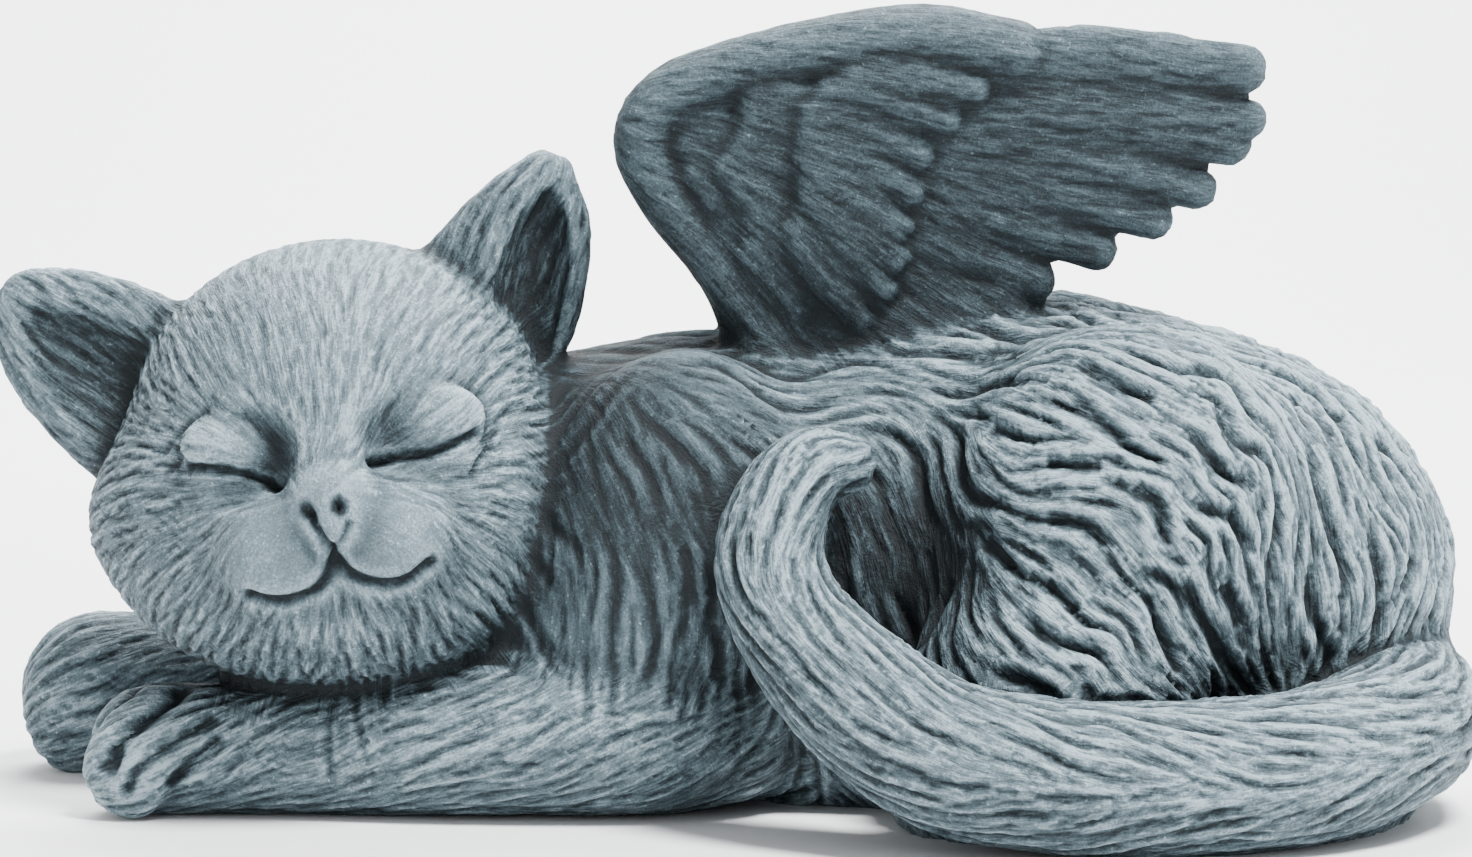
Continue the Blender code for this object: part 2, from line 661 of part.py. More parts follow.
def flat_base(ob, collection):
    """Cuts the figure off flat where it stands."""
    mesh = bpy.data.meshes.new("ground")
    bm = bmesh.new()
    bmesh.ops.create_cube(bm, size=1.0)
    bmesh.ops.scale(bm, vec=(400, 400, 60), verts=bm.verts)
    bmesh.ops.translate(bm, vec=(0, 0, -30), verts=bm.verts)
    bm.to_mesh(mesh)
    bm.free()
    ground = bpy.data.objects.new("ground", mesh)
    collection.objects.link(ground)
    ground.hide_render = True
    ground.display_type = "WIRE"
    mod = ob.modifiers.new("base", "BOOLEAN")
    mod.operation = "DIFFERENCE"
    mod.solver = "EXACT"
    mod.object = ground
    apply_modifiers(ob)


def thin_out(ob, triangles):
    """Fewer facets, with the flat base kept flat."""
    ob.data.calc_loop_triangles()
    p = coordinates(ob.data)
    keep = ob.vertex_groups.new(name="keep")
    face = rows_norm((p - np.array((-66, -40, 54))) / (32, 18, 26)) < 1.0
    face |= (p[:, 2] > 82) & (p[:, 0] > -42) & (p[:, 0] < -20)
    for level, chosen in ((1.0, ~face), (FACE_SHARE, face)):
        keep.add([int(i) for i in np.flatnonzero(chosen)], level, "REPLACE")
    mod = ob.modifiers.new("facets", "DECIMATE")
    mod.vertex_group = "keep"
    mod.vertex_group_factor = 1.0
    mod.decimate_type = "COLLAPSE"
    mod.use_collapse_triangulate = True
    mod.ratio = min(1.0, triangles / len(ob.data.loop_triangles))
    apply_modifiers(ob)
    p = coordinates(ob.data)
    p[np.abs(p[:, 2]) < 0.3, 2] = 0.0
    set_coordinates(ob.data, p)


def stone():
    mat = bpy.data.materials.new("cast_stone")
    mat.use_nodes = True
    shader = mat.node_tree.nodes["Principled BSDF"]
    shader.inputs["Base Color"].default_value = (0.27, 0.34, 0.38, 1.0)
    shader.inputs["Roughness"].default_value = 0.85
    return mat


def normals(mesh):
    out = np.empty(len(mesh.vertices) * 3)
    mesh.vertex_normals.foreach_get("vector", out)
    return out.reshape(-1, 3)


def carved_figure(collection, cutters):
    """The finished solid in grid units, before it is moved to its origin."""
    ob = blockout(collection)
    remesh(ob, BLOCK_CELL)
    project(ob, 8)
    remesh(ob, MESH_CELL)
    project(ob, 4)

    p = coordinates(ob.data)
    rng = np.random.default_rng(7)
    where = region(p)
    furry = np.flatnonzero((p[:, 2] > -3) & (where != 5) & (where != 6))
    seeds = p[rng.choice(furry, 4000, replace=False)]
    spacing, depth = LOCK_SPACING / GRID, LOCK_DEPTH / GRID
    lines = streams(seeds, spacing, 42.0, 1.5, 0.5)
    p = carve(p, normals(ob.data), lines, spacing, depth, fur_amount(p, where))
    set_coordinates(ob.data, p)
    set_coordinates(ob.data, engrave(p, normals(ob.data), CUTS))

    flat_base(ob, cutters)
    thin_out(ob, TRIANGLES)
    return ob


def main():
    clear_scene()
    collection = bpy.data.collections.new(NAME)
    cutters = bpy.data.collections.new("cutters")
    for c in (collection, cutters):
        bpy.context.scene.collection.children.link(c)
    ob = carved_figure(collection, cutters)
    p = coordinates(ob.data)
    low, high = p.min(axis=0), p.max(axis=0)
    middle = np.array(((low[0] + high[0]) / 2, (low[1] + high[1]) / 2, 0.0))
    set_coordinates(ob.data, (p - middle) * GRID)
    ob.data.materials.append(stone())


if __name__ == "__main__":
    main()
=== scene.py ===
"""Looks of the pet memorial statue: the carved casting, its stone finish, light and camera."""
import math

import bmesh
import bpy
import numpy as np
from mathutils import Matrix, Vector
from mathutils.bvhtree import BVHTree
from mathutils.kdtree import KDTree

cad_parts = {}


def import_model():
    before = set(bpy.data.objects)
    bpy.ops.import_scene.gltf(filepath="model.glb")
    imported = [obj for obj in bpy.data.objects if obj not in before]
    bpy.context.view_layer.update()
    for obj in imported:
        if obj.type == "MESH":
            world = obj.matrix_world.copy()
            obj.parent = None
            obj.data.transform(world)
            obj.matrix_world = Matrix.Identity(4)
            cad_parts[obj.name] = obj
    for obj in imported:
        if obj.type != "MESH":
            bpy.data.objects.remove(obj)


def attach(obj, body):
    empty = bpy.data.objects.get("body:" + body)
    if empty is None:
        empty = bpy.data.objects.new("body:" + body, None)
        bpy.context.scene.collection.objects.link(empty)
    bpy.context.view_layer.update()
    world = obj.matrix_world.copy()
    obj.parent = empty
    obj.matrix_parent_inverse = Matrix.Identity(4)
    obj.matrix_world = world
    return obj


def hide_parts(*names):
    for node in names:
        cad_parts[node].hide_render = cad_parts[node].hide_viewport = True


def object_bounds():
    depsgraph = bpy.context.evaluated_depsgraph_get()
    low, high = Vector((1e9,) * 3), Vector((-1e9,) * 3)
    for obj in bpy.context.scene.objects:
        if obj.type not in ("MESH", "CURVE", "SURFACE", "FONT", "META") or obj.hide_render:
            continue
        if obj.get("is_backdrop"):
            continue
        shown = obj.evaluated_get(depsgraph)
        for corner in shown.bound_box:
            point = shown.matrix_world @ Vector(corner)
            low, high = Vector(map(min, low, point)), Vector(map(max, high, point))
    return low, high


LENGTH = 0.250              # the figure's length, as in the solid
EAR_WALL = 0.0028           # wall behind the cup of an ear
EAR_CUP = 0.0052            # depth of the cup of an ear
FEATHER_THICKNESS = 0.0052  # the long wing feathers, front to back
FEATHER_STEP = 0.0010       # how far each row of feathers stands over the next
WING_LEAN_DEG = 14.0        # lean of each wing away from the back's ridge
BLOCK_CELLS = (2.6, 1.4)    # grid, cells of the two rough joinings
FINE_CELL = 0.86            # grid, cell of the last joining
TRIANGLES = 197000          # facets of the carved casting
SEED_COUNTS = (4000, 12000, 24000)  # starts tried for each kind of fur line
LOCK_WAVELENGTH = 27.0      # grid, length of a lock's own S bend
HAIR_PATCH = 7.0            # grid, size of a patch of near-parallel hair
HAIR_STEP = 0.55            # grid, width of a hair
HAIR_STRETCH = 9.0          # length of a hair in widths

GRID = LENGTH / 250.0
SPINE_Y = 4.0               # grid, the ridge of the back
WING_ROOT_Z = 84.0          # grid, where the wings rise from the ridge
WING_ROOT_Y = 11.0          # grid, each root out from the ridge

# spacing, depth, length and own curl in degrees of each kind of fur line, then its strength
# on the trunk, forelegs, head, ears, tail and wings
FUR = [
    (4.6, 1.50, 40.0, 17.0, (1.00, 0.16, 0.04, 0.05, 0.30, 0.00)),
    (2.5, 0.80, 24.0, 8.0, (0.95, 0.46, 0.26, 0.35, 0.85, 0.22)),
    (1.6, 0.38, 11.0, 4.0, (1.10, 0.90, 0.95, 0.85, 1.00, 0.65)),
]

# finer cuts of the face: nostrils, folds over and beside the eyes
FOLDS = [
    ([(-68.9, 54.0), (-68.4, 53.6)], 1.25, 1.5),
    ([(-63.3, 55.2), (-63.2, 54.3)], 0.95, 2.2),
    ([(-93.4, 61.8), (-90.0, 65.6), (-86.0, 68.9)], 0.6, 0.35),
    ([(-92.6, 58.4), (-90.0, 61.0)], 0.6, 0.4),
    ([(-43.0, 58.6), (-40.6, 62.6), (-38.6, 66.8)], 0.5, 0.6),
    ([(-40.8, 65.8), (-37.0, 68.6)], 0.5, 0.5),
]


def unit(v):
    v = np.asarray(v, float)
    return v / max(np.linalg.norm(v), 1e-12)


def rows_norm(v):
    return np.sqrt(np.einsum("ij,ij->i", v, v))


def rows_unit(v):
    return v / np.maximum(rows_norm(v), 1e-9)[:, None]


def turned(turn):
    """Rotation matrix of a form, from its turns in degrees about X, Y and Z."""
    x, y, z = (math.radians(a) for a in turn)
    m = Matrix.Rotation(z, 3, "Z") @ Matrix.Rotation(y, 3, "Y") @ Matrix.Rotation(x, 3, "X")
    return np.array(m)


class Egg:
    """A rounded mass: an ellipsoid with its own turn."""

    def __init__(self, centre, radii, turn=(0, 0, 0)):
        self.centre = np.array(centre, float)
        self.radii = np.array(radii, float)
        self.axes = turned(turn)
        self.reach = float(max(self.radii))

    def exact(self, p):
        q = (p - self.centre) @ self.axes
        k0 = rows_norm(q / self.radii)
        k1 = np.maximum(rows_norm(q / self.radii ** 2), 1e-6)
        return k0 * (k0 - 1.0) / k1

    def block(self):
        return [(self.centre, self.axes, self.radii, None)]


def smooth_path(points, steps):
    """Points with their values along them, filled in along a smooth spline."""
    pts = np.array(points, float)
    ends = np.vstack([2 * pts[0] - pts[1], pts, 2 * pts[-1] - pts[-2]])
    out = []
    for i in range(len(pts) - 1):
        a, b, c, d = ends[i:i + 4]
        for s in range(steps):
            t = s / steps
            out.append(0.5 * (2 * b + (c - a) * t + (2 * a - 5 * b + 4 * c - d) * t * t
                              + (3 * b - 3 * c + d - a) * t ** 3))
    out.append(pts[-1])
    return np.array(out)


class Tube:
    """A limb: a round or flattened section swept along a smooth path.

    stations are (x, y, z, half_width) or, with a face normal, (x, y, z, half_width, half_depth).
    """

    def __init__(self, stations, face=None, steps=4):
        table = smooth_path(stations, steps)
        self.path = table[:, :3]
        self.wide = table[:, 3]
        self.deep = table[:, 4] if table.shape[1] > 4 else table[:, 3]
        self.face = None if face is None else unit(face)
        low = (self.path - self.wide[:, None]).min(axis=0)
        high = (self.path + self.wide[:, None]).max(axis=0)
        self.centre = (low + high) / 2
        self.reach = float(np.max(rows_norm(self.path - self.centre) + self.wide))

    def exact(self, p):
        best = np.full(len(p), 1e9)
        for i in range(len(self.path) - 1):
            a, b = self.path[i], self.path[i + 1]
            ab = b - a
            t = np.clip((p - a) @ ab / (ab @ ab), 0.0, 1.0)
            q = p - a - t[:, None] * ab
            w = self.wide[i] + (self.wide[i + 1] - self.wide[i]) * t
            if self.face is None:
                d = rows_norm(q) - w
            else:
                e = self.deep[i] + (self.deep[i + 1] - self.deep[i]) * t
                n = q @ self.face
                flat = q - n[:, None] * self.face
                f2 = np.einsum("ij,ij->i", flat, flat)
                k0 = np.sqrt(f2 / w ** 2 + n ** 2 / e ** 2)
                k1 = np.maximum(np.sqrt(f2 / w ** 4 + n ** 2 / e ** 4), 1e-6)
                d = k0 * (k0 - 1.0) / k1
            best = np.minimum(best, d)
        return best

    def block(self):
        out = []
        for i in range(len(self.path) - 1):
            a, b = self.path[i], self.path[i + 1]
            along = unit(b - a)
            face = self.face if self.face is not None else unit(np.cross(along, (0.3, 0.8, 0.5)))
            side = unit(np.cross(face, along))
            axes = np.array([along, side, np.cross(along, side)]).T
            w, v = self.wide[i], self.wide[i + 1]
            e, f = self.deep[i], self.deep[i + 1]
            out.append((a, axes, np.array([w, w, e]), (b, np.array([v, v, f]))))
        return out


def union(a, b, k):
    h = np.clip(0.5 + 0.5 * (b - a) / k, 0.0, 1.0)
    return b * (1 - h) + a * h - k * h * (1 - h)


def cut(a, b, k):
    return -union(-a, b, k)


class Group:
    """Forms joined with a rounded valley of width k between them."""

    def __init__(self, forms, k, cuts=(), cut_k=1.0):
        self.forms = list(forms)
        self.k = k
        self.cuts = list(cuts)
        self.cut_k = cut_k
        ends = [f.centre - f.reach for f in self.forms], [f.centre + f.reach for f in self.forms]
        low, high = np.min(ends[0], axis=0), np.max(ends[1], axis=0)
        self.centre = (low + high) / 2
        self.reach = max(float(np.linalg.norm(f.centre - self.centre) + f.reach) for f in self.forms)

    def exact(self, p):
        total = None
        for form in self.forms:
            d = value(form, p, self.k + 3.0)
            total = d if total is None else union(total, d, self.k)
        for form in self.cuts:
            d = value(form, p, self.cut_k + 3.0)
            total = cut(total, d, self.cut_k)
        return total

    def block(self):
        return [block for form in self.forms for block in form.block()]


def value(form, p, margin):
    """Distance to a form, worked out in full only near it."""
    far = rows_norm(p - form.centre) - form.reach
    out = np.maximum(far, margin)
    near = far < margin
    if near.any():
        out[near] = form.exact(p[near])
    return out


def body():
    trunk = Group([
        Egg((5, 5, 40), (44, 35, 38)),
        Egg((49, 4, 40), (57, 36, 46)),
        Egg((80, 2, 36), (42, 38, 41.2)),
        Egg((-10, 5, 43), (38, 31, 35)),
        Egg((-33, 4, 46), (28, 27, 28)),
        Egg((-33, 5, 22), (34, 29, 24)),
        Egg((42, 6, 14), (74, 31, 18)),
    ], 8.0)
    near = Group([
        Egg((63, -21, 46), (33, 25, 36), (0, 12, 0)),
        Egg((52, -34, 22), (24, 18, 22)),
        Egg((66, -34, 3), (40, 20, 10)),
        Egg((94, -18, 10), (22, 22, 18)),
    ], 6.0)
    far = Group([
        Egg((63, 27, 45), (34, 22, 35), (0, 12, 0)),
        Egg((48, 38, 9), (36, 15, 11)),
    ], 6.0)
    shoulders = Group([
        Egg((-13, -19, 42), (21, 15.4, 36), (0, 10, 0)),
        Egg((-12, 27, 42), (22, 16, 35), (0, 10, 0)),
    ], 6.0)
    return Group([Group([trunk, shoulders], 9.0), near, far], 4.0)


def forelegs():
    near = Tube([(-2, -16, 15.6, 14), (-14, -20, 15.4, 15), (-30, -21, 14.6, 14), (-48, -20, 13.2, 13),
                 (-66, -18, 12, 12), (-82, -17.4, 11, 11), (-97.0, -17, 10.6, 11)])
    far = Tube([(-10, 27, 16, 15), (-32, 31, 16, 14.5), (-56, 33, 15, 13.5), (-80, 33, 14, 13),
                (-98, 32, 13.6, 13.4), (-112.6, 31, 13.4, 14.2)])
    near_toes = [Egg((-100.6 + 1.6 * i, -24.6 + 5.2 * i, 8.4 + 0.7 * i), (7.8, 4, 8), (0, 0, 12 * i - 16))
                 for i in range(4)]
    far_toes = [Egg((-117 + 1.6 * i, 23.5 + 5.2 * i, 9.5), (8.6, 4.2, 9.5), (0, 0, 10 * i - 16))
                for i in range(4)]
    return Group([Group([near] + near_toes, 1.8), Group([far] + far_toes, 2.0)], 4.0)


TAIL_STATIONS = [(84, 26, 22, 14), (99, 16, 21, 13.5), (108.5, 2, 19.5, 13), (111.5, -14, 18, 12.8),
                 (108, -31, 16.2, 12.6), (93, -48, 13.2, 12.4), (71, -56, 12.2, 12.3),
                 (50, -58, 13, 12.2), (32.5, -57, 16.4, 12), (19.7, -52, 24.4, 11.2),
                 (10.2, -46.5, 34, 9.8), (5.5, -42.5, 44.7, 9), (7.4, -39.5, 54.1, 7.8),
                 (12.3, -37, 59.8, 6.6), (17.9, -35, 60.2, 4.8)]


def tail():
    return Tube(TAIL_STATIONS)


# for each eye: middle of the upper lid, of the lower lid and of the socket, roll and yaw in degrees
EYES = [((-80.2, -31.6, 61.9), (-80.2, -31.4, 57.0), (-80.6, -42.0, 62.6), 8, 12),
        ((-50.6, -31.0, 66.3), (-50.6, -31.0, 61.2), (-50.4, -42.0, 66.8), -12, -12)]


def head():
    skull = Group([
        Egg((-66.5, -5, 64), (35, 33, 31.5)),
        Egg((-66.5, -10, 51), (42, 29, 26), (0, -5, 0)),
        Egg((-66, -16, 40), (33, 24, 19)),
        Egg((-65.0, -25, 46.5), (24, 18, 16)),
    ], 7.0)
    bridge = Tube([(-66.6, -23, 76, 9.5, 5.0), (-66.0, -32.0, 69, 8.0, 5.0), (-65.2, -37.8, 61, 6.8, 4.8),
                   (-64.5, -41.0, 55.4, 6.8, 4.6)], (0.0, -1.0, 0.35))
    sockets = [Egg(hollow, (9.7, 7.8, 9.8), (0, roll, yaw)) for _, _, hollow, roll, yaw in EYES]
    face = Group([skull, bridge], 6.0, sockets, 2.4)
    lids = Group([Egg(upper, (10.2, 5.2, 6.8), (0, roll, yaw)) for upper, _, _, roll, yaw in EYES]
                 + [Egg(lower, (9.4, 4.4, 5.2), (0, roll, yaw)) for _, lower, _, roll, yaw in EYES], 1.2)
    puffs = Group([
        Egg((-72.8, -37.8, 45.4), (9.6, 7.6, 8.8), (0, 8, 10)),
        Egg((-56.2, -37.8, 48.0), (9.8, 7.4, 8.4), (0, -14, -10)),
    ], 0.8)
    chin = Egg((-65, -35.4, 36.0), (12, 6.4, 6.4))
    pad = Tube([(-64.3, -43.0, 54.8, 7.0, 3.6), (-64.2, -44.2, 51.6, 5.2, 3.4),
                (-64.5, -44.2, 47.8, 2.3, 3.0)], (0.0, -1.0, 0.0))
    muzzle = Group([Group([face, lids], 1.7), puffs], 5.0)
    return Group([Group([muzzle, chin], 2.0), pad], 1.5)


def cup_of(stations, face_of):
    """The hollow of an ear: x, z, half width and share of the full depth at each of its stations."""
    wall, cup = EAR_WALL / GRID, EAR_CUP / GRID
    ahead = 3.0
    out = []
    for (x, z, wide, share), (_, y, _, _, deep) in zip(stations, face_of):
        depth = min(cup * share, 2 * deep - wall)
        out.append((x, y - deep - ahead, z, wide, depth + ahead))
    return out


def ears():
    face = (0.0, -1.0, 0.0)
    left = [(-96, -3, 65.4, 16, 6.5), (-102.5, -3, 71.0, 16, 5.6), (-111, -3, 77.0, 13.2, 4.6),
            (-118, -3, 83.0, 7.6, 3.4)]
    right = [(-44, -2, 80, 15, 7), (-40, -2, 86.5, 14.2, 5.8), (-35.4, -2, 96, 11.0, 4.6),
             (-32.2, -2, 105, 5.4, 3.4)]
    left_cup = [(-98.0, 64.6, 12.0, 1.0), (-104.2, 70.0, 12.4, 1.0), (-111.2, 75.4, 10.2, 0.8),
                (-116.4, 80.4, 5.0, 0.4)]
    right_cup = [(-34.8, 78.5, 7.6, 1.25), (-33.8, 86.5, 8.0, 1.25), (-32.4, 95.0, 6.2, 1.0),
                 (-31.4, 101.6, 3.0, 0.4)]
    cups = [Tube(cup_of(cup, ear), face, 10) for cup, ear in ((left_cup, left), (right_cup, right))]
    return Group([Tube(left, face), Tube(right, face)], 1.0, cups, 1.8)


def wing_point(u, h, side, out=0.0):
    """A place on a wing: u along the back, h up the wing, out from its middle plane."""
    lean = math.radians(WING_LEAN_DEG)
    y = WING_ROOT_Y + h * math.sin(lean) + out * math.cos(lean)
    z = WING_ROOT_Z + h * math.cos(lean) - out * math.sin(lean)
    return (u, SPINE_Y + side * y, z)


def wing_fall(h):
    """How steeply a covert feather falls, in radians, by its height on the wing."""
    return math.radians(8.0 + 46.0 * min(max((38.0 - h) / 38.0, 0.0), 1.0))


def wing(side):
    lean = math.radians(WING_LEAN_DEG)
    face = (0.0, side * math.cos(lean), -math.sin(lean))
    thin = FEATHER_THICKNESS / GRID / 2
    step = FEATHER_STEP / GRID

    def place(u, h, *sizes):
        return wing_point(u, h, side) + sizes

    def feather(base, tip, wide, deep, narrow):
        mid = (0.5 * (base[0] + tip[0]) + 0.06 * (tip[1] - base[1]),
               0.5 * (base[1] + tip[1]) + 0.06 * (tip[0] - base[0]))
        return Tube([place(*base, wide * 0.85, deep), place(*mid, wide, deep),
                     place(*tip, wide * narrow, deep * 0.85)], face, steps=2)

    arm = Tube([place(6.5, -8.0, 6.0), place(2.6, -1.5, 5.0), place(-3.6, 8.3, 4.4), place(-11.4, 18.8, 4.7),
                place(-15.2, 29.1, 5.2), place(-10.9, 37.0, 4.9), place(1.0, 42.0, 4.6),
                place(15.5, 45.4, 4.8), place(31.0, 47.0, 5.2), place(46.0, 44.6, 4.8)])
    long_feathers = [
        ((30, 38), (83.4, 41.2), 6.0), ((34, 33), (84.8, 32.8), 4.6), ((30, 31), (81.8, 28.4), 5.2),
        ((26, 28), (76.6, 20.7), 5.0), ((22, 24), (69.4, 15.4), 5.0), ((18, 20), (60.2, 10.2), 5.2),
        ((14, 16), (50.0, 5.0), 5.2), ((10, 10), (42.0, 0.5), 5.4),
    ]
    layers = [Group([feather(b, t, w, thin, 0.7) for b, t, w in long_feathers], 1.6)]
    rows = [
        (3, [(42.0, 38.6), (37.4, 33.0), (33.0, 26.6), (31.4, 20.0), (29.4, 13.6), (28.4, 7.8),
             (26.4, 2.2), (22.6, -3.0)], 22.0, 5.5),
        (2, [(18.6, 34.6), (17.4, 28.4), (15.2, 22.0), (11.2, 17.4), (12.8, 11.6), (13.2, 5.0),
             (11.6, -1.4)], 15.0, 5.2),
        (1, [(2.6, 31.0), (2.2, 25.0), (3.0, 18.6), (4.6, 12.4), (5.6, 5.4)], 11.0, 5.0),
    ]
    for level, tips, reach, wide in rows:
        forms = []
        for u, h in tips:
            fall = wing_fall(h)
            base = (max(u - reach * math.cos(fall), -10.5), min(h + reach * math.sin(fall), 41.0))
            tip = (u - 2.8 * math.cos(fall), h + 2.8 * math.sin(fall))
            forms.append(feather(base, tip, wide, thin + step * level, 0.62))
        layers.append(Group(forms, 1.8))
    web = Tube([place(6, -6, 8, thin + step), place(8, 8, 13, thin + step), place(8, 26, 14, thin + step)],
               face)
    foot = Tube([place(6, -6, 6, thin + step), place(26, -3, 7, thin + step), place(44, 1.5, 5, thin)], face)
    return Group([Group(layers, 0.4), arm, web, foot], 1.2)


FIGURE = {}


def figure():
    if not FIGURE:
        parts = {"body": body(), "legs": forelegs(), "head": head(), "ears": ears(), "tail": tail(),
                 "wing_near": wing(-1), "wing_far": wing(1)}
        FIGURE.update(parts)
        trunk = Group([parts["body"], parts["legs"]], 3.0)
        with_head = Group([trunk, parts["head"]], 2.6)
        with_ears = Group([with_head, parts["ears"]], 2.6)
        with_tail = Group([with_ears, parts["tail"]], 1.8)
        FIGURE["all"] = Group([with_tail, parts["wing_near"], parts["wing_far"]], 3.6)
    return FIGURE["all"]


def field(p):
    return figure().exact(p)


def slope(p, step=0.12):
    """Field value and its rise at each place."""
    corners = np.array([(1, -1, -1), (-1, -1, 1), (-1, 1, -1), (1, 1, 1)], float)
    grad = np.zeros_like(p)
    total = np.zeros(len(p))
    for c in corners:
        f = field(p + c * step)
        grad += f[:, None] * c
        total += f
    grad /= 4 * step
    return total / 4, grad


def settle(p, rounds=4, limit=1.2):
    """Moves places onto the figure's surface."""
    p = p.copy()
    for _ in range(rounds):
        f, g = slope(p)
        g2 = np.maximum(np.einsum("ij,ij->i", g, g), 0.15)
        move = -(f / g2)[:, None] * g
        size = rows_norm(move)
        move *= np.minimum(1.0, limit / np.maximum(size, 1e-9))[:, None]
        p += move
    return p


# x, z and the fur's direction along x and z, for the trunk, the same on both flanks
TRUNK_FLOW = np.array([
    (-19, 70, 0.70, -0.71), (-16, 56, 0.44, -0.90), (-5, 60, 0.54, -0.84), (-14, 37, 0.24, -0.97),
    (-6, 30, -0.05, -1.00), (-23, 25, -0.15, -0.99), (-15, 16, -0.44, -0.90), (-1, 78, 0.98, -0.19),
    (16, 79, 1.00, 0.08), (10, 71, 0.99, 0.11), (27, 72, 0.96, -0.29), (30, 62, 0.39, -0.92),
    (33, 51, 0.19, -0.98), (24, 44, 0.13, -0.99), (30, 31, 0.40, -0.92), (47, 79, 0.71, -0.71),
    (41, 71, 0.84, -0.54), (48, 63, 0.99, 0.15), (46, 46, 0.98, -0.22), (48, 30, 0.75, -0.66),
    (62, 83, 0.92, -0.39), (65, 70, 0.81, -0.58), (64, 52, 0.70, -0.71), (61, 32, 0.66, -0.75),
    (79, 81, 0.85, -0.53), (80, 65, 0.62, -0.78), (79, 44, 0.45, -0.89), (77, 26, 0.64, -0.77),
    (96, 68, 0.59, -0.81), (95, 50, 0.33, -0.95), (89, 30, -0.21, -0.98), (108, 51, 0.17, -0.98),
    (106, 34, -0.34, -0.94), (112, 26, -0.55, -0.84)])
NOSE = np.array((-66.0, -44.0, 55.0))

# cuts of the face, then between the toes: x and z along each, then its width and depth
CUTS = [
    ([(-89.0, 59.8), (-84.6, 59.6), (-80.4, 59.0), (-77.0, 57.9), (-73.8, 56.9)], 0.65, 1.5),
    ([(-58.4, 61.2), (-54.4, 61.5), (-50.3, 62.0), (-46.0, 63.4), (-41.8, 65.4)], 0.70, 1.6),
    ([(-75.6, 57.3), (-73.6, 56.9)], 1.0, 1.2),
    ([(-58.6, 61.2), (-56.0, 61.4)], 1.0, 1.2),
    ([(-64.5, 47.4), (-64.7, 44.4), (-66.8, 41.0), (-69.9, 39.4), (-74.0, 38.7), (-78.4, 39.6)], 1.0, 1.9),
    ([(-64.4, 46.8), (-62.6, 44.0), (-59.5, 42.2), (-55.5, 41.6), (-52.3, 42.4), (-48.8, 45.0)], 1.0, 1.8),
    ([(-68.4, 53.2), (-66.2, 49.9), (-64.5, 47.1)], 0.8, 1.3),
    ([(-61.7, 51.8), (-62.9, 49.0), (-64.3, 47.1)], 0.7, 0.7),
    ([(-107.6, 12.5), (-105.0, 17.2), (-99.6, 21.4)], 1.1, 1.5),
    ([(-103.4, 9.8), (-101.4, 14.2), (-96.8, 18.0), (-92.4, 21.2)], 1.7, 2.6),
    ([(-100.2, 5.8), (-98.0, 9.6), (-92.4, 13.6), (-86.8, 17.0)], 1.1, 1.5),
    ([(-92.8, 6.6), (-89.6, 10.6), (-85.6, 13.8)], 1.0, 1.5),
]


def region(p):
    """Which part of the figure each place belongs to."""
    figure()
    names = ["body", "legs", "head", "ears", "tail", "wing_near", "wing_far"]
    d = np.array([value(FIGURE[n], p, 6.0) for n in names])
    return np.argmin(d, axis=0)


def flow(p, where):
    """The lie of the fur at each place, before it is laid on the surface."""
    out = np.zeros_like(p)
    trunk = where == 0
    if trunk.any():
        q = p[trunk]
        d2 = (q[:, 0:1] - TRUNK_FLOW[:, 0]) ** 2 + (q[:, 2:3] - TRUNK_FLOW[:, 1]) ** 2
        w = np.exp(-(d2 - d2.min(axis=1)[:, None]) / (2 * 8.0 ** 2))
        v = w @ TRUNK_FLOW[:, 2:4]
        out[trunk, 0] = v[:, 0]
        out[trunk, 2] = v[:, 1]
    legs = where == 1
    out[legs] = (-0.9, 0.0, -0.42)
    on_head = where == 2
    v = rows_unit(p - NOSE)
    low = np.clip((62.0 - p[:, 2]) / 20.0, 0.0, 1.0) * np.clip(np.abs(p[:, 0] + 66.0) / 12.0, 0.3, 1.0)
    v[:, 2] -= 0.45 * low
    out[on_head] = v[on_head]
    ear = where == 3
    left = ear & (p[:, 0] < -66)
    out[left] = unit((-0.78, 0.0, 0.62))
    out[ear & ~left] = unit((0.42, 0.0, 0.9))
    tails = where == 4
    if tails.any():
        path = FIGURE["tail"].path
        q = p[tails]
        d = ((q[:, None, :] - path[None]) ** 2).sum(axis=2)
        i = np.clip(np.argmin(d, axis=1), 0, len(path) - 2)
        along = rows_unit(path[i + 1] - path[i])
        spread = q - path[i]
        spread -= np.einsum("ij,ij->i", spread, along)[:, None] * along
        spread[:, 1] *= 0.2
        out[tails] = along + 0.42 * rows_unit(spread)
    wings = where >= 5
    if wings.any():
        q = p[wings]
        h = (q[:, 2] - WING_ROOT_Z) / math.cos(math.radians(WING_LEAN_DEG))
        steep = np.clip((38.0 - h) / 38.0, 0, 1) * np.clip((60 - q[:, 0]) / 40.0, 0.15, 1)
        fall = np.radians(6.0 + 46.0 * steep)
        out[wings, 0] = np.cos(fall)
        out[wings, 2] = -np.sin(fall)
        out[wings, 1] = np.sign(SPINE_Y - q[:, 1]) * 0.24 * np.sin(fall)
    return out


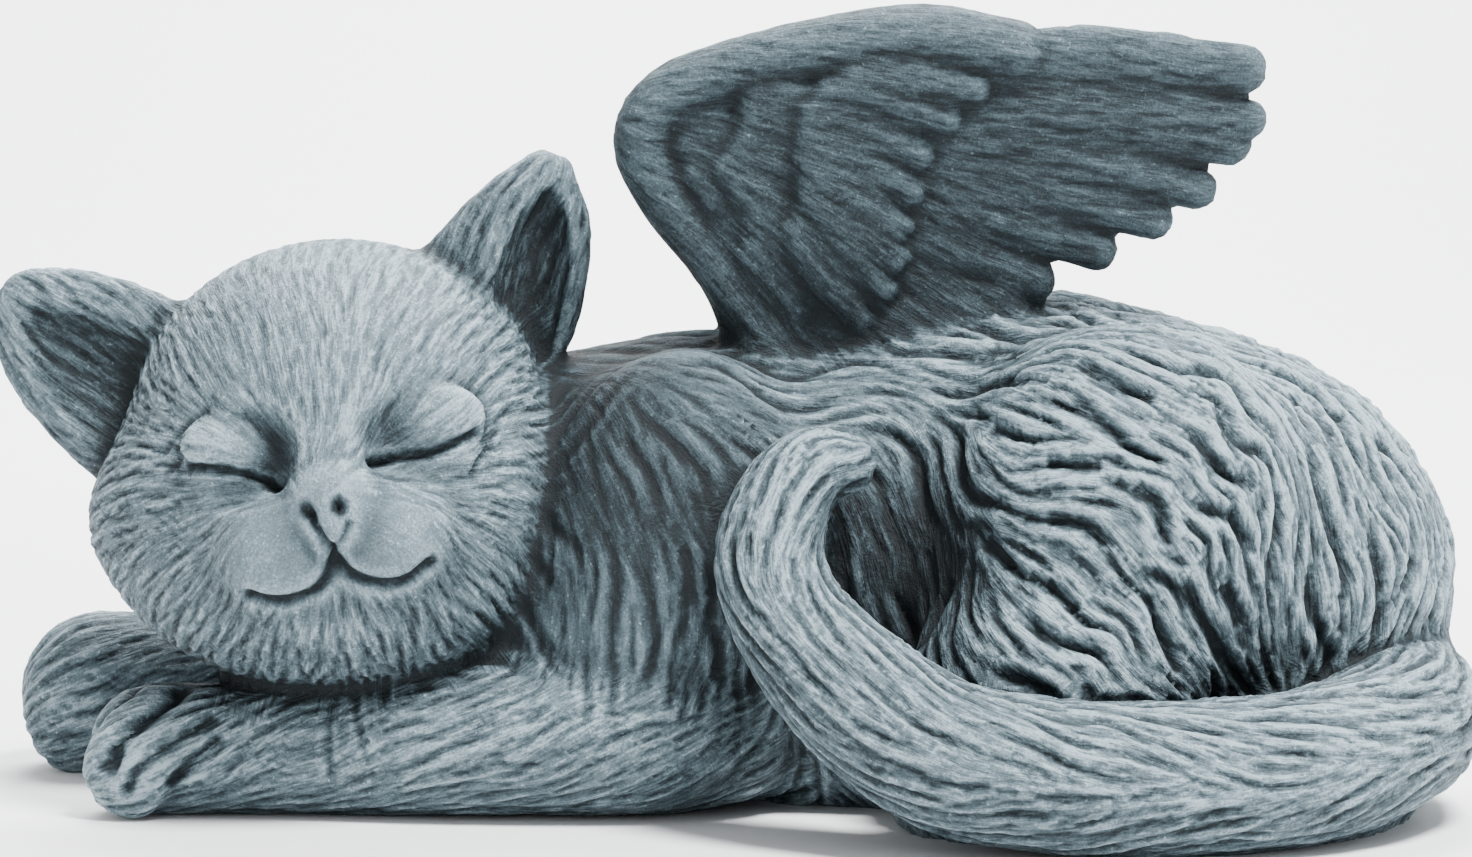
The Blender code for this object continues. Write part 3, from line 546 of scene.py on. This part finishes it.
def comb(p, normal, where):
    """The fur's direction on the surface, with the locks' slow S waves."""
    v = flow(p, where)
    v -= np.einsum("ij,ij->i", v, normal)[:, None] * normal
    v = rows_unit(v)
    haunch = np.clip((p[:, 0] - 26.0) / 22.0, 0, 1) * (where == 0)
    gain = np.radians(8.0 + 10.0 * haunch) * np.where(where >= 5, 0.5, 1.0)
    run = np.where(where == 0, np.hypot(p[:, 0] - 40.0, p[:, 2] - 100.0), p @ np.array((0.6, 0.2, 0.7)))
    across = p @ np.array((0.5, 0.3, -0.4))
    drift = 1.6 * np.sin(across / 7.5) + 1.1 * np.sin(p[:, 0] / 6.1 - p[:, 2] / 9.7)
    angle = gain * np.sin(2 * math.pi * run / 29.0 + 0.10 * across + drift)
    side = np.cross(normal, v)
    return v * np.cos(angle)[:, None] + side * np.sin(angle)[:, None]


def streams(seeds, spacing, length, step, rng, curl):
    """Evenly spaced fur lines traced from the seeds along the lie of the fur.

    Each has its own length, slight turn and S bend, of curl degrees.
    """
    p = seeds.copy()
    where = region(p)
    own_turn = np.radians(rng.normal(0.0, 5.0, len(p)))
    own_phase = rng.uniform(0.0, 2 * math.pi, len(p))
    own_length = length * rng.uniform(0.45, 1.0, len(p))
    bend = np.radians(curl) * np.where(where == 0, 1.0, 0.4)
    track = []
    for k in range(int(length / step)):
        f, g = slope(p)
        n = rows_unit(g)
        p = p - np.clip(f, -1.0, 1.0)[:, None] * n
        v = comb(p, n, where)
        angle = own_turn + bend * np.sin(2 * math.pi * k * step / LOCK_WAVELENGTH + own_phase)
        v = v * np.cos(angle)[:, None] + np.cross(n, v) * np.sin(angle)[:, None]
        track.append((p.copy(), v))
        p = p + v * step
    places = np.array([t[0] for t in track]).transpose(1, 0, 2)
    ways = np.array([t[1] for t in track]).transpose(1, 0, 2)
    kept, taken = [], {}
    near = [(i, j, k) for i in (-1, 0, 1) for j in (-1, 0, 1) for k in (-1, 0, 1)]
    for line, way, reach in zip(places, ways, own_length):
        run = []
        for place in line[:int(reach / step)]:
            key = tuple(int(math.floor(c / spacing)) for c in place)
            clash = False
            for o in near:
                for x, y, z in taken.get((key[0] + o[0], key[1] + o[1], key[2] + o[2]), ()):
                    if (x - place[0]) ** 2 + (y - place[1]) ** 2 + (z - place[2]) ** 2 < spacing ** 2:
                        clash = True
                        break
                if clash:
                    break
            if clash:
                break
            run.append(place)
        if len(run) * step < 0.35 * reach:
            continue
        for place in run:
            key = tuple(int(math.floor(c / spacing)) for c in place)
            taken.setdefault(key, []).append(tuple(place))
        kept.append((np.array(run), way[:len(run)]))
    return kept


def carve(p, normal, lines, spacing, depth, amount):
    """Lowers the surface along the fur lines and rounds the locks between them."""
    count = sum(len(a) for a, _ in lines)
    tree = KDTree(count)
    spots, ways, fade = [], [], []
    for places, way in lines:
        n = len(places)
        t = (np.arange(n) + 0.5) / n
        fade.append(np.minimum(1.0, 4.0 * np.minimum(t, 1 - t)))
        spots.append(places)
        ways.append(way)
    spots, ways, fade = np.vstack(spots), np.vstack(ways), np.concatenate(fade)
    for i, s in enumerate(spots):
        tree.insert(s, i)
    tree.balance()
    nearest = np.array([tree.find(q)[1] for q in p])
    delta = p - spots[nearest]
    w = ways[nearest]
    delta -= np.einsum("ij,ij->i", delta, w)[:, None] * w
    q = rows_norm(delta) / spacing
    shape = -np.exp(-(q / 0.26) ** 2) + 0.34 * np.exp(-((q - 0.55) / 0.24) ** 2)
    drop = depth * fade[nearest] * shape * amount
    return p + drop[:, None] * normal


def coordinates(mesh):
    out = np.empty(len(mesh.vertices) * 3)
    mesh.vertices.foreach_get("co", out)
    return out.reshape(-1, 3)


def set_coordinates(mesh, p):
    mesh.vertices.foreach_set("co", p.ravel())
    mesh.update()


def blockout(collection):
    """Rough forms from balls and stretched balls, joined into one object."""
    bm = bmesh.new()
    bmesh.ops.create_uvsphere(bm, u_segments=20, v_segments=12, radius=1.0)
    ball = np.array([(v.co.z, v.co.x, v.co.y) for v in bm.verts])
    ball_faces = [[v.index for v in f.verts] for f in bm.faces]
    bm.free()
    front = ball[:, 0] > 1e-6
    verts, faces = [], []
    for centre, axes, radii, other in figure().block():
        p = centre + (ball * radii) @ axes.T
        if other is not None:
            p[front] = other[0] + (ball[front] * other[1]) @ axes.T
        first = len(verts) * len(ball)
        verts.append(p)
        faces.extend([first + i for i in f] for f in ball_faces)
    mesh = bpy.data.meshes.new("statue_rough")
    mesh.from_pydata(np.vstack(verts).tolist(), [], faces)
    ob = bpy.data.objects.new("statue", mesh)
    collection.objects.link(ob)
    return ob


def apply_modifiers(ob):
    graph = bpy.context.evaluated_depsgraph_get()
    mesh = bpy.data.meshes.new_from_object(ob.evaluated_get(graph))
    ob.modifiers.clear()
    old = ob.data
    ob.data = mesh
    bpy.data.meshes.remove(old)


def remesh(ob, cell):
    mod = ob.modifiers.new("join", "REMESH")
    mod.mode = "VOXEL"
    mod.voxel_size = cell
    mod.adaptivity = 0.0
    apply_modifiers(ob)


def project(ob, rounds):
    p = settle(coordinates(ob.data), rounds)
    set_coordinates(ob.data, p)


def from_front(x, z):
    """Places on the figure's front straight in from the given x and z."""
    p = np.column_stack([x, np.full(len(x), -62.0), z])
    for _ in range(40):
        p[:, 1] += np.clip(field(p), -0.5, 3.0)
    return p


def engrave(p, normal, lines):
    """Cuts fine lines and pits into the front of the figure."""
    out = p.copy()
    for points, wide, deep in lines:
        path = smooth_path(points, 6)
        spots = from_front(path[:, 0], path[:, 1])
        near = np.flatnonzero((np.abs(p - spots.mean(axis=0)) < 22).all(axis=1))
        best = np.full(len(near), 1e9)
        for a, b in zip(spots[:-1], spots[1:]):
            ab = b - a
            t = np.clip((p[near] - a) @ ab / (ab @ ab), 0, 1)
            best = np.minimum(best, rows_norm(p[near] - a - t[:, None] * ab))
        out[near] -= (deep * np.exp(-(best / wide) ** 2))[:, None] * normal[near]
    return out


# centre and radii of the rounded spots of the muzzle and nose, which stay nearly smooth, and
# of the eyelids, where the fur is finer
SMOOTH_SPOTS = [
    ((-72.4, -44, 46.0), (9.4, 10, 9.0)),
    ((-56.6, -44, 48.0), (9.8, 10, 8.4)),
    ((-64.8, -46, 52.5), (7.5, 12, 8.5)),
]
LIDS = [((-82.2, -36, 62.4), (8.8, 9, 7.6)), ((-49.2, -36, 66.0), (8.8, 9, 7.8))]


def within(p, spots, least):
    """Falls from 1 to least inside any of the rounded spots."""
    out = np.ones(len(p))
    for centre, radii in spots:
        d = rows_norm((p - np.array(centre)) / np.array(radii))
        out = np.minimum(out, np.clip((d - 0.75) * 2.4, least, 1.0))
    return out


def strength(p, where, shares):
    """How strongly each place is carved: least on the muzzle and nose, most on the haunch."""
    amount = np.array(shares + shares[-1:])[where]
    smooth = np.minimum(within(p, SMOOTH_SPOTS, 0.12), within(p, LIDS, 0.8))
    beard = np.clip((np.abs(p[:, 0] + 66.0) - 18.0) / 18.0, 0, 1) + np.clip((42.0 - p[:, 2]) / 12.0, 0, 1)
    amount = np.where(where == 2, amount * smooth * (0.6 + 0.9 * np.minimum(beard, 1.0)), amount)
    flank = np.clip((p[:, 0] + 14.0) / 30.0, 0, 1)
    haunch = np.clip((p[:, 0] - 30.0) / 20.0, 0, 1)
    return amount * np.where(where == 0, 0.36 + 0.38 * flank + 0.46 * haunch, 1.0)


def neighbour_mean(values, edges, count):
    """The mean over each vertex's neighbours, of which it has count."""
    total = np.zeros_like(values)
    for axis in range(values.shape[1]):
        total[:, axis] = (np.bincount(edges[:, 0], values[edges[:, 1], axis], len(values))
                          + np.bincount(edges[:, 1], values[edges[:, 0], axis], len(values)))
    return total / count[:, None]


def mesh_edges(mesh):
    out = np.empty(len(mesh.edges) * 2, dtype=np.int64)
    mesh.edges.foreach_get("vertices", out)
    return out.reshape(-1, 2)


def triangle_corners(mesh):
    """Vertices of the mesh's triangles, split from its faces where they have more corners."""
    mesh.calc_loop_triangles()
    out = np.empty(len(mesh.loop_triangles) * 3, dtype=np.int64)
    mesh.loop_triangles.foreach_get("vertices", out)
    return out.reshape(-1, 3)


def face_corners(mesh):
    """Vertices of an all-triangle mesh, face by face."""
    out = np.empty(len(mesh.loops), dtype=np.int64)
    mesh.loops.foreach_get("vertex_index", out)
    return out.reshape(-1, 3)


def normals(mesh):
    out = np.empty(len(mesh.vertices) * 3)
    mesh.vertex_normals.foreach_get("vector", out)
    return out.reshape(-1, 3)


def flat_base(ob):
    """Cuts the figure off flat where it stands."""
    bm = bmesh.new()
    bm.from_mesh(ob.data)
    everything = bm.verts[:] + bm.edges[:] + bm.faces[:]
    bmesh.ops.bisect_plane(bm, geom=everything, plane_co=(0, 0, 0), plane_no=(0, 0, 1), clear_inner=True)
    rim = [e for e in bm.edges if e.is_boundary]
    bmesh.ops.holes_fill(bm, edges=rim, sides=0)
    bmesh.ops.triangulate(bm, faces=[f for f in bm.faces if len(f.verts) > 4])
    bmesh.ops.recalc_face_normals(bm, faces=bm.faces[:])
    bm.to_mesh(ob.data)
    bm.free()


def thin_out(ob, triangles):
    """Fewer facets, with more of them kept on the side that the face shows on."""
    p = coordinates(ob.data)
    n = normals(ob.data)
    plain = np.clip(0.45 + 0.5 * n[:, 1] + 0.4 * (p[:, 1] > 30), 0.2, 1.0)
    group = ob.vertex_groups.new(name="plain")
    levels = np.round(plain * 8).astype(int)
    for level in np.unique(levels):
        group.add([int(i) for i in np.flatnonzero(levels == level)], float(level) / 8.0, "REPLACE")
    ob.data.calc_loop_triangles()
    mod = ob.modifiers.new("facets", "DECIMATE")
    mod.decimate_type = "COLLAPSE"
    mod.use_collapse_triangulate = True
    mod.vertex_group = "plain"
    mod.vertex_group_factor = 1.0
    mod.ratio = min(1.0, triangles / len(ob.data.loop_triangles))
    apply_modifiers(ob)
    p = coordinates(ob.data)
    p[np.abs(p[:, 2]) < 0.12, 2] = 0.0
    set_coordinates(ob.data, p)
    drop_flaps(ob)


def drop_flaps(ob):
    """Removes the pairs of facets that the thinning folded flat onto each other."""
    bm = bmesh.new()
    bm.from_mesh(ob.data)
    by_corners = {}
    for face in bm.faces:
        by_corners.setdefault(tuple(sorted(v.index for v in face.verts)), []).append(face)
    folded = [face for faces in by_corners.values() if len(faces) > 1 for face in faces]
    bmesh.ops.delete(bm, geom=folded, context="FACES")
    bm.to_mesh(ob.data)
    bm.free()


def carved_statue(collection):
    """The casting in grid units, and how open its plain form is to the sky around it."""
    ob = blockout(collection)
    remesh(ob, BLOCK_CELLS[0])
    project(ob, 8)
    sky = sky_share(ob.data)
    remesh(ob, BLOCK_CELLS[1])
    project(ob, 4)
    remesh(ob, FINE_CELL)
    project(ob, 2)
    p = coordinates(ob.data)
    where = region(p)
    rng = np.random.default_rng(7)
    base = p.copy()
    lift = normals(ob.data)
    above = np.flatnonzero(p[:, 2] > -2)
    for (spacing, depth, length, curl, shares), count in zip(FUR, SEED_COUNTS):
        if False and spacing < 2:
            continue
        want = strength(base, where, shares)
        pool = above[want[above] > 0.03]
        seeds = base[rng.choice(pool, min(count, len(pool)), replace=False)]
        lines = streams(seeds, spacing, length, 0.24 * spacing + 0.5, rng, curl)
        p = p + carve(base, lift, lines, spacing, depth, want) - base
    set_coordinates(ob.data, p)
    set_coordinates(ob.data, engrave(p, normals(ob.data), CUTS + FOLDS))
    flat_base(ob)
    thin_out(ob, TRIANGLES)
    return ob, sky


def ray_tree(mesh):
    p = coordinates(mesh)
    corners = triangle_corners(mesh)
    return BVHTree.FromPolygons([tuple(q) for q in p], corners.tolist(), all_triangles=True)


def sky_share(mesh, rays=20, reach=110.0):
    """Places on the plain form with the share of the sky and of the light from above they see."""
    p, n = coordinates(mesh), normals(mesh)
    tree = ray_tree(mesh)
    rng = np.random.default_rng(5)
    start = p + n * 1.0
    share = np.zeros(len(p))
    total = np.zeros(len(p))
    for _ in range(rays):
        d = rng.normal(size=p.shape)
        d = rows_unit(rows_unit(d) + n * 1.02)
        weight = 0.35 + np.clip(d @ np.array((0.30, -0.42, 0.86)), 0.0, 1.0)
        total += weight
        for i in range(len(p)):
            hit = tree.ray_cast(start[i], d[i], reach)[3]
            share[i] += weight[i] * (1.0 if hit is None else 0.5 * hit / reach)
    facing = total / rays
    return p, share / total, facing


def spread(places, values, p, edges, count, rounds):
    """Values known at some places, carried to the nearest vertices and evened out."""
    tree = KDTree(len(places))
    for i, s in enumerate(places):
        tree.insert(s, i)
    tree.balance()
    nearest = np.array([tree.find(q)[1] for q in p])
    out = values[nearest][:, None]
    for _ in range(rounds):
        out = 0.3 * out + 0.7 * neighbour_mean(out, edges, count)
    return out[:, 0]


def shade_values(mesh, edges, count, rays=8, reach=16.0):
    """How open each place is close by, and how far it stands out of or sinks into its surroundings."""
    p, n = coordinates(mesh), normals(mesh)
    smooth = p.copy()
    relief = []
    for rounds in (2, 8, 30):
        for _ in range(rounds):
            smooth = neighbour_mean(smooth, edges, count)
        relief.append(np.einsum("ij,ij->i", p - smooth, n))
    tree = ray_tree(mesh)
    rng = np.random.default_rng(3)
    open_share = np.zeros(len(p))
    start = p + n * 0.25
    for _ in range(rays):
        d = rng.normal(size=p.shape)
        d = rows_unit(rows_unit(d) + n * 1.02)
        for i in range(len(p)):
            hit = tree.ray_cast(start[i], d[i], reach)[3]
            open_share[i] += 1.0 if hit is None else hit / reach
    column = (open_share / rays)[:, None]
    for _ in range(3):
        column = 0.4 * column + 0.6 * neighbour_mean(column, edges, count)
    return column[:, 0], relief


def hair_patches(p, n, way, corners, rng):
    """Patches of near-parallel hair over the surface.

    Gives a noise place for each face corner, in steps across and along the hair, and a weight
    for each vertex that falls to nothing at the edges of its patch.
    """
    held = p + 3.0 * n
    keys = np.floor((held + rng.uniform(0, HAIR_PATCH, 3)) / HAIR_PATCH).astype(np.int64)
    flat = (keys[:, 0] * 100003 + keys[:, 1]) * 100003 + keys[:, 2]
    order = rng.permutation(len(p))
    chosen = order[np.unique(flat[order], return_index=True)[1]]
    tree = KDTree(len(chosen))
    for i, k in enumerate(chosen):
        tree.insert(held[k], i)
    tree.balance()
    weight = np.empty(len(p))
    for i, q in enumerate(held):
        (_, _, first), (_, _, second) = tree.find_n(q, 2)
        weight[i] = second - first
    weight = np.clip(weight / (0.35 * HAIR_PATCH), 0.0, 1.0)
    middles = held[corners].mean(axis=1)
    patch = np.array([tree.find(q)[1] for q in middles])
    centre, along = p[chosen], way[chosen]
    across = np.cross(n[chosen], along)
    shift = rng.uniform(0, 60, (len(chosen), 3))
    flat_patch = np.repeat(patch, 3)
    delta = p[corners.ravel()] - centre[flat_patch]
    place = np.column_stack([
        np.einsum("ij,ij->i", delta, across[flat_patch]) / HAIR_STEP,
        np.einsum("ij,ij->i", delta, along[flat_patch]) / (HAIR_STEP * HAIR_STRETCH),
        np.zeros(len(flat_patch))])
    return place + shift[flat_patch], weight


def add_attribute(mesh, name, values, domain="POINT"):
    kind, field_name = ("FLOAT", "value") if values.ndim == 1 else ("FLOAT_VECTOR", "vector")
    layer = mesh.attributes.new(name, kind, domain)
    layer.data.foreach_set(field_name, values.astype(np.float32).ravel())


class Nodes:
    """Short ways to add and link shader nodes."""

    def __init__(self, name):
        self.mat = bpy.data.materials.new(name)
        self.mat.use_nodes = True
        self.tree = self.mat.node_tree
        self.shader = self.tree.nodes["Principled BSDF"]

    def link(self, a, b):
        self.tree.links.new(a, b)

    def put(self, socket, value):
        if isinstance(value, (int, float, tuple)):
            socket.default_value = value
        else:
            self.link(value, socket)

    def math(self, operation, a, b=None, clamp=False):
        node = self.tree.nodes.new("ShaderNodeMath")
        node.operation = operation
        node.use_clamp = clamp
        self.put(node.inputs[0], a)
        if b is not None:
            self.put(node.inputs[1], b)
        return node.outputs[0]

    def total(self, pairs, start):
        """start plus each value times its factor."""
        out = start
        for value, factor in pairs:
            out = self.math("ADD", self.math("MULTIPLY", value, factor), out)
        return out

    def attribute(self, name, output="Fac"):
        node = self.tree.nodes.new("ShaderNodeAttribute")
        node.attribute_name = name
        return node.outputs[output]

    def noise(self, vector, scale, detail=2.0, rough=0.5):
        node = self.tree.nodes.new("ShaderNodeTexNoise")
        self.put(node.inputs["Vector"], vector)
        node.inputs["Scale"].default_value = scale
        node.inputs["Detail"].default_value = detail
        node.inputs["Roughness"].default_value = rough
        return node.outputs["Fac"]

    def ramp(self, value, stops):
        node = self.tree.nodes.new("ShaderNodeValToRGB")
        self.put(node.inputs[0], value)
        bar = node.color_ramp
        while len(bar.elements) < len(stops):
            bar.elements.new(0.5)
        for element, (place, colour) in zip(bar.elements, stops):
            element.position = place
            element.color = colour
        return node.outputs[0]


def cast_stone():
    """Blue-grey cast stone: dark in the hollows from its own antiquing and from painted shade, pale edges
    from brushing and painted light, fine grain.
    """
    nodes = Nodes("cast_stone")
    coords = nodes.tree.nodes.new("ShaderNodeTexCoord")
    place = coords.outputs["Object"]
    hair = None
    for name in ("a", "b"):
        streak = nodes.noise(nodes.attribute("hair_" + name, "Vector"), 1.0, 2.0, 0.6)
        part = nodes.math("MULTIPLY", nodes.math("SUBTRACT", streak, 0.5), nodes.attribute("weight_" + name))
        hair = part if hair is None else nodes.math("ADD", hair, part)
    hair = nodes.math("MULTIPLY", hair, nodes.attribute("furry"))
    grain = nodes.math("SUBTRACT", nodes.noise(place, 2300.0, 3.0, 0.7), 0.5)
    cloud = nodes.math("SUBTRACT", nodes.noise(place, 90.0, 4.0, 0.62), 0.5)
    fleck = nodes.math("SUBTRACT", nodes.noise(place, 1500.0, 1.0), 0.66)
    fleck = nodes.math("MULTIPLY", fleck, 7.0, clamp=True)

    # painted shade and light: the tone starts from the antiquing and painted shading attribute and adds the
    # relief, so hollows, overhung places and sides away from the light come out darker
    tone = nodes.total([(nodes.attribute("relief"), 0.38), (hair, 0.95), (grain, 0.60), (cloud, 0.26),
                        (fleck, 0.30)], nodes.attribute("wash_and_painted_shading"))
    tone = nodes.math("ADD", tone, 0.0, clamp=True)
    colour = nodes.ramp(tone, [(place_on, tuple(c) + (1.0,)) for place_on, c in STONE_TONES])
    nodes.link(colour, nodes.shader.inputs["Base Color"])
    nodes.shader.inputs["Roughness"].default_value = 0.74
    nodes.shader.inputs["Specular IOR Level"].default_value = 0.30
    height = nodes.total([(hair, 1.0), (grain, 0.45)], 0.0)
    bump = nodes.tree.nodes.new("ShaderNodeBump")
    bump.inputs["Strength"].default_value = 0.85
    bump.inputs["Distance"].default_value = 0.0008
    nodes.link(height, bump.inputs["Height"])
    nodes.link(bump.outputs[0], nodes.shader.inputs["Normal"])
    return nodes.mat


# how far from dark to pale, painted shade and light included, then the stone's colour there
STONE_TONES = [
    (0.00, (0.002, 0.005, 0.007)),
    (0.20, (0.010, 0.019, 0.024)),
    (0.45, (0.042, 0.064, 0.076)),
    (0.70, (0.104, 0.147, 0.169)),
    (1.00, (0.300, 0.388, 0.430)),
]


# part, centre, radii and depth of the zones darkened with painted shade: the neck and
# shoulder, inside the curl of the tail and the inner corners of the eyes; the nose is darker too
PAINTED_SHADE_ZONES = [
    (0, (-17, -18, 58), (28, 42, 38), 0.50),
    (0, (30, -36, 47), (20, 26, 21), 0.42),
    (2, (-75.5, -44, 61.5), (4.4, 14, 7.0), 0.16),
    (2, (-58.6, -44, 64.5), (4.0, 14, 7.0), 0.16),
    (2, (-64.8, -50, 53.2), (5.2, 9, 4.6), 0.12),
]


def wash_and_painted_shading_values(p, where, share, facing, opening):
    """How pale the stone is at each place, from 0 to 1: dark in hollows, partly from its own antiquing and
    partly as painted shade; painted shade also under overhangs and away from the light from above, and
    painted light where it faces that light.
    """
    # painted shade and light by part: wings and ears darker, the tail a little darker, the head a little
    # paler
    parts = np.array([0.01, 0.01, 0.03, -0.15, -0.03, -0.26, -0.26])[where]
    # painted shade and light: darker where less sky and less of the light from above is seen, where the
    # place is closed in close by (partly the stone's own antiquing), and where it faces away from that light
    out = 0.38 + parts + 0.42 * (share - 0.72) + 0.36 * (opening - 0.82) + 0.36 * (facing - 0.75)
    # painted shade: darker inside each zone, most at its middle
    for part, centre, radii, depth in PAINTED_SHADE_ZONES:
        d = rows_norm((p - np.array(centre)) / np.array(radii))
        out = out - depth * np.clip(1.6 - 1.6 * d, 0, 1) * (where == part)
    # a little darker again on the muzzle and the eyelids
    muzzle = 1.0 - within(p, SMOOTH_SPOTS, 0.0)
    lids = 1.0 - within(p, LIDS, 0.0)
    return out - (0.07 * muzzle + 0.06 * lids) * (where == 2)


def floor_stone():
    nodes = Nodes("pale_floor")
    nodes.shader.inputs["Base Color"].default_value = (0.86, 0.87, 0.88, 1.0)
    nodes.shader.inputs["Roughness"].default_value = 0.9
    return nodes.mat


def backdrop(z):
    """A pale sheet: flat under the statue, then curving up behind it."""
    side, far, bend, top = 2.6, 0.9, 0.7, 2.2
    line = [(-side, z), (far, z)]
    angles = np.radians(np.arange(5, 91, 5))
    line += [(far + bend * math.sin(a), z + bend * (1 - math.cos(a))) for a in angles]
    line.append((far + bend, top))
    verts = [(x, y, h) for y, h in line for x in (-side, side)]
    faces = [(2 * i, 2 * i + 1, 2 * i + 3, 2 * i + 2) for i in range(len(line) - 1)]
    mesh = bpy.data.meshes.new("backdrop")
    mesh.from_pydata(verts, [], faces)
    mesh.shade_smooth()
    mesh.materials.append(floor_stone())
    ob = bpy.data.objects.new("floor", mesh)
    bpy.context.scene.collection.objects.link(ob)
    return ob


def lamp(name, place, aim, size, power):
    data = bpy.data.lights.new(name, "AREA")
    data.shape = "DISK"
    data.size = size
    data.energy = power
    ob = bpy.data.objects.new(name, data)
    ob.location = place
    ob.rotation_euler = (Vector(aim) - Vector(place)).to_track_quat("-Z", "Y").to_euler()
    bpy.context.scene.collection.objects.link(ob)


def camera(target, distance, rise_deg, width_at_target):
    data = bpy.data.cameras.new("camera")
    data.sensor_width = 36.0
    data.lens = 36.0 * distance / width_at_target
    data.clip_start = 0.01
    data.clip_end = 20.0
    ob = bpy.data.objects.new("camera", data)
    rise = math.radians(rise_deg)
    back = Vector((0.0, -math.cos(rise), math.sin(rise)))
    ob.location = Vector(target) + back * distance
    ob.rotation_euler = (-back).to_track_quat("-Z", "Y").to_euler()
    bpy.context.scene.collection.objects.link(ob)
    bpy.context.scene.camera = ob


def paint_values(mesh, p, where, share, facing, opening, relief, pairs):
    """Attributes that the stone finish reads: antiquing with painted shade and light, relief, fur and the
    lie of its hair.
    """
    # paler on ridges and darker in grooves: partly the stone's own brushing and antiquing, partly painted
    # light and shade
    mixed = (np.clip(relief[0] * 2.6, -0.5, 0.5) + np.clip(relief[1] * 0.75, -0.45, 0.40)
             + 0.05 * np.clip(relief[2], -1, 1)) * np.where(where >= 5, 0.6, 1.0)
    add_attribute(mesh, "relief", mixed)
    # tone of the stone with its antiquing and painted shade and light
    add_attribute(mesh, "wash_and_painted_shading", wash_and_painted_shading_values(p, where, share, facing, opening))
    furry = strength(p, where, FUR[2][4]) * np.where(where == 2, 1.6, 1.15)
    add_attribute(mesh, "furry", np.clip(furry, 0.25, 1.15))
    evenness = np.sqrt(pairs[0][1] ** 2 + pairs[1][1] ** 2 + 0.02)
    for name, (place, weight) in zip("ab", pairs):
        add_attribute(mesh, "hair_" + name, place, "CORNER")
        add_attribute(mesh, "weight_" + name, weight / evenness)


def finish(mesh, sky):
    """Works out what the stone finish needs to know about the carved surface."""
    edges = mesh_edges(mesh)
    count = np.maximum(np.bincount(edges.ravel(), minlength=len(mesh.vertices)), 1)
    p = coordinates(mesh)
    opening, relief = shade_values(mesh, edges, count)
    places, share, facing = sky
    share = spread(places, share, p, edges, count, 12)
    facing = spread(places, facing, p, edges, count, 12)
    where = region(p)
    _, g = slope(p)
    lift = rows_unit(g)
    way = comb(p, lift, where)
    for _ in range(10):
        way = neighbour_mean(way, edges, count)
        way = rows_unit(way - np.einsum("ij,ij->i", way, lift)[:, None] * lift)
    corners = face_corners(mesh)
    rng = np.random.default_rng(11)
    pairs = [hair_patches(p, lift, way, corners, rng) for _ in range(2)]
    paint_values(mesh, p, where, share, facing, opening, relief, pairs)


def studio(floor_z, target):
    """Pale backdrop, soft light from above and the camera; returns the backdrop."""
    world = bpy.data.worlds.new("studio")
    bpy.context.scene.world = world
    world.use_nodes = True
    world.node_tree.nodes["Background"].inputs[0].default_value = (1.0, 1.0, 1.0, 1.0)
    world.node_tree.nodes["Background"].inputs[1].default_value = 0.9
    lamp("key", place=(0.34, -0.36, 0.95), aim=(0.0, 0.0, 0.05), size=0.30, power=34.0)
    lamp("backdrop_light", place=(0.0, 0.75, 1.1), aim=(0.0, 1.05, 0.0), size=0.9, power=60.0)
    camera(target, distance=0.750, rise_deg=5.0, width_at_target=0.25024)
    return backdrop(floor_z)


def main():
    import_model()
    solid_box = [[float(c) for c in corner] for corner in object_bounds()]
    statue, sky = carved_statue(bpy.context.scene.collection)
    statue.name = "carved_statue"
    mesh = statue.data
    finish(mesh, sky)

    p = coordinates(mesh)
    low, high = np.array(solid_box[0]), np.array(solid_box[1])
    a, b = p.min(axis=0), p.max(axis=0)
    scale = (high - low) / (b - a)
    set_coordinates(mesh, low + (p - a) * scale)
    mesh.shade_smooth()
    mesh.materials.append(cast_stone())
    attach(statue, "root")
    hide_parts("statue")
    target = low + (np.array((0.0, 0.0, 63.0)) - a) * scale
    studio(float(low[2]), tuple(target))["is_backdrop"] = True
    return solid_box


CAD_BOX = main()
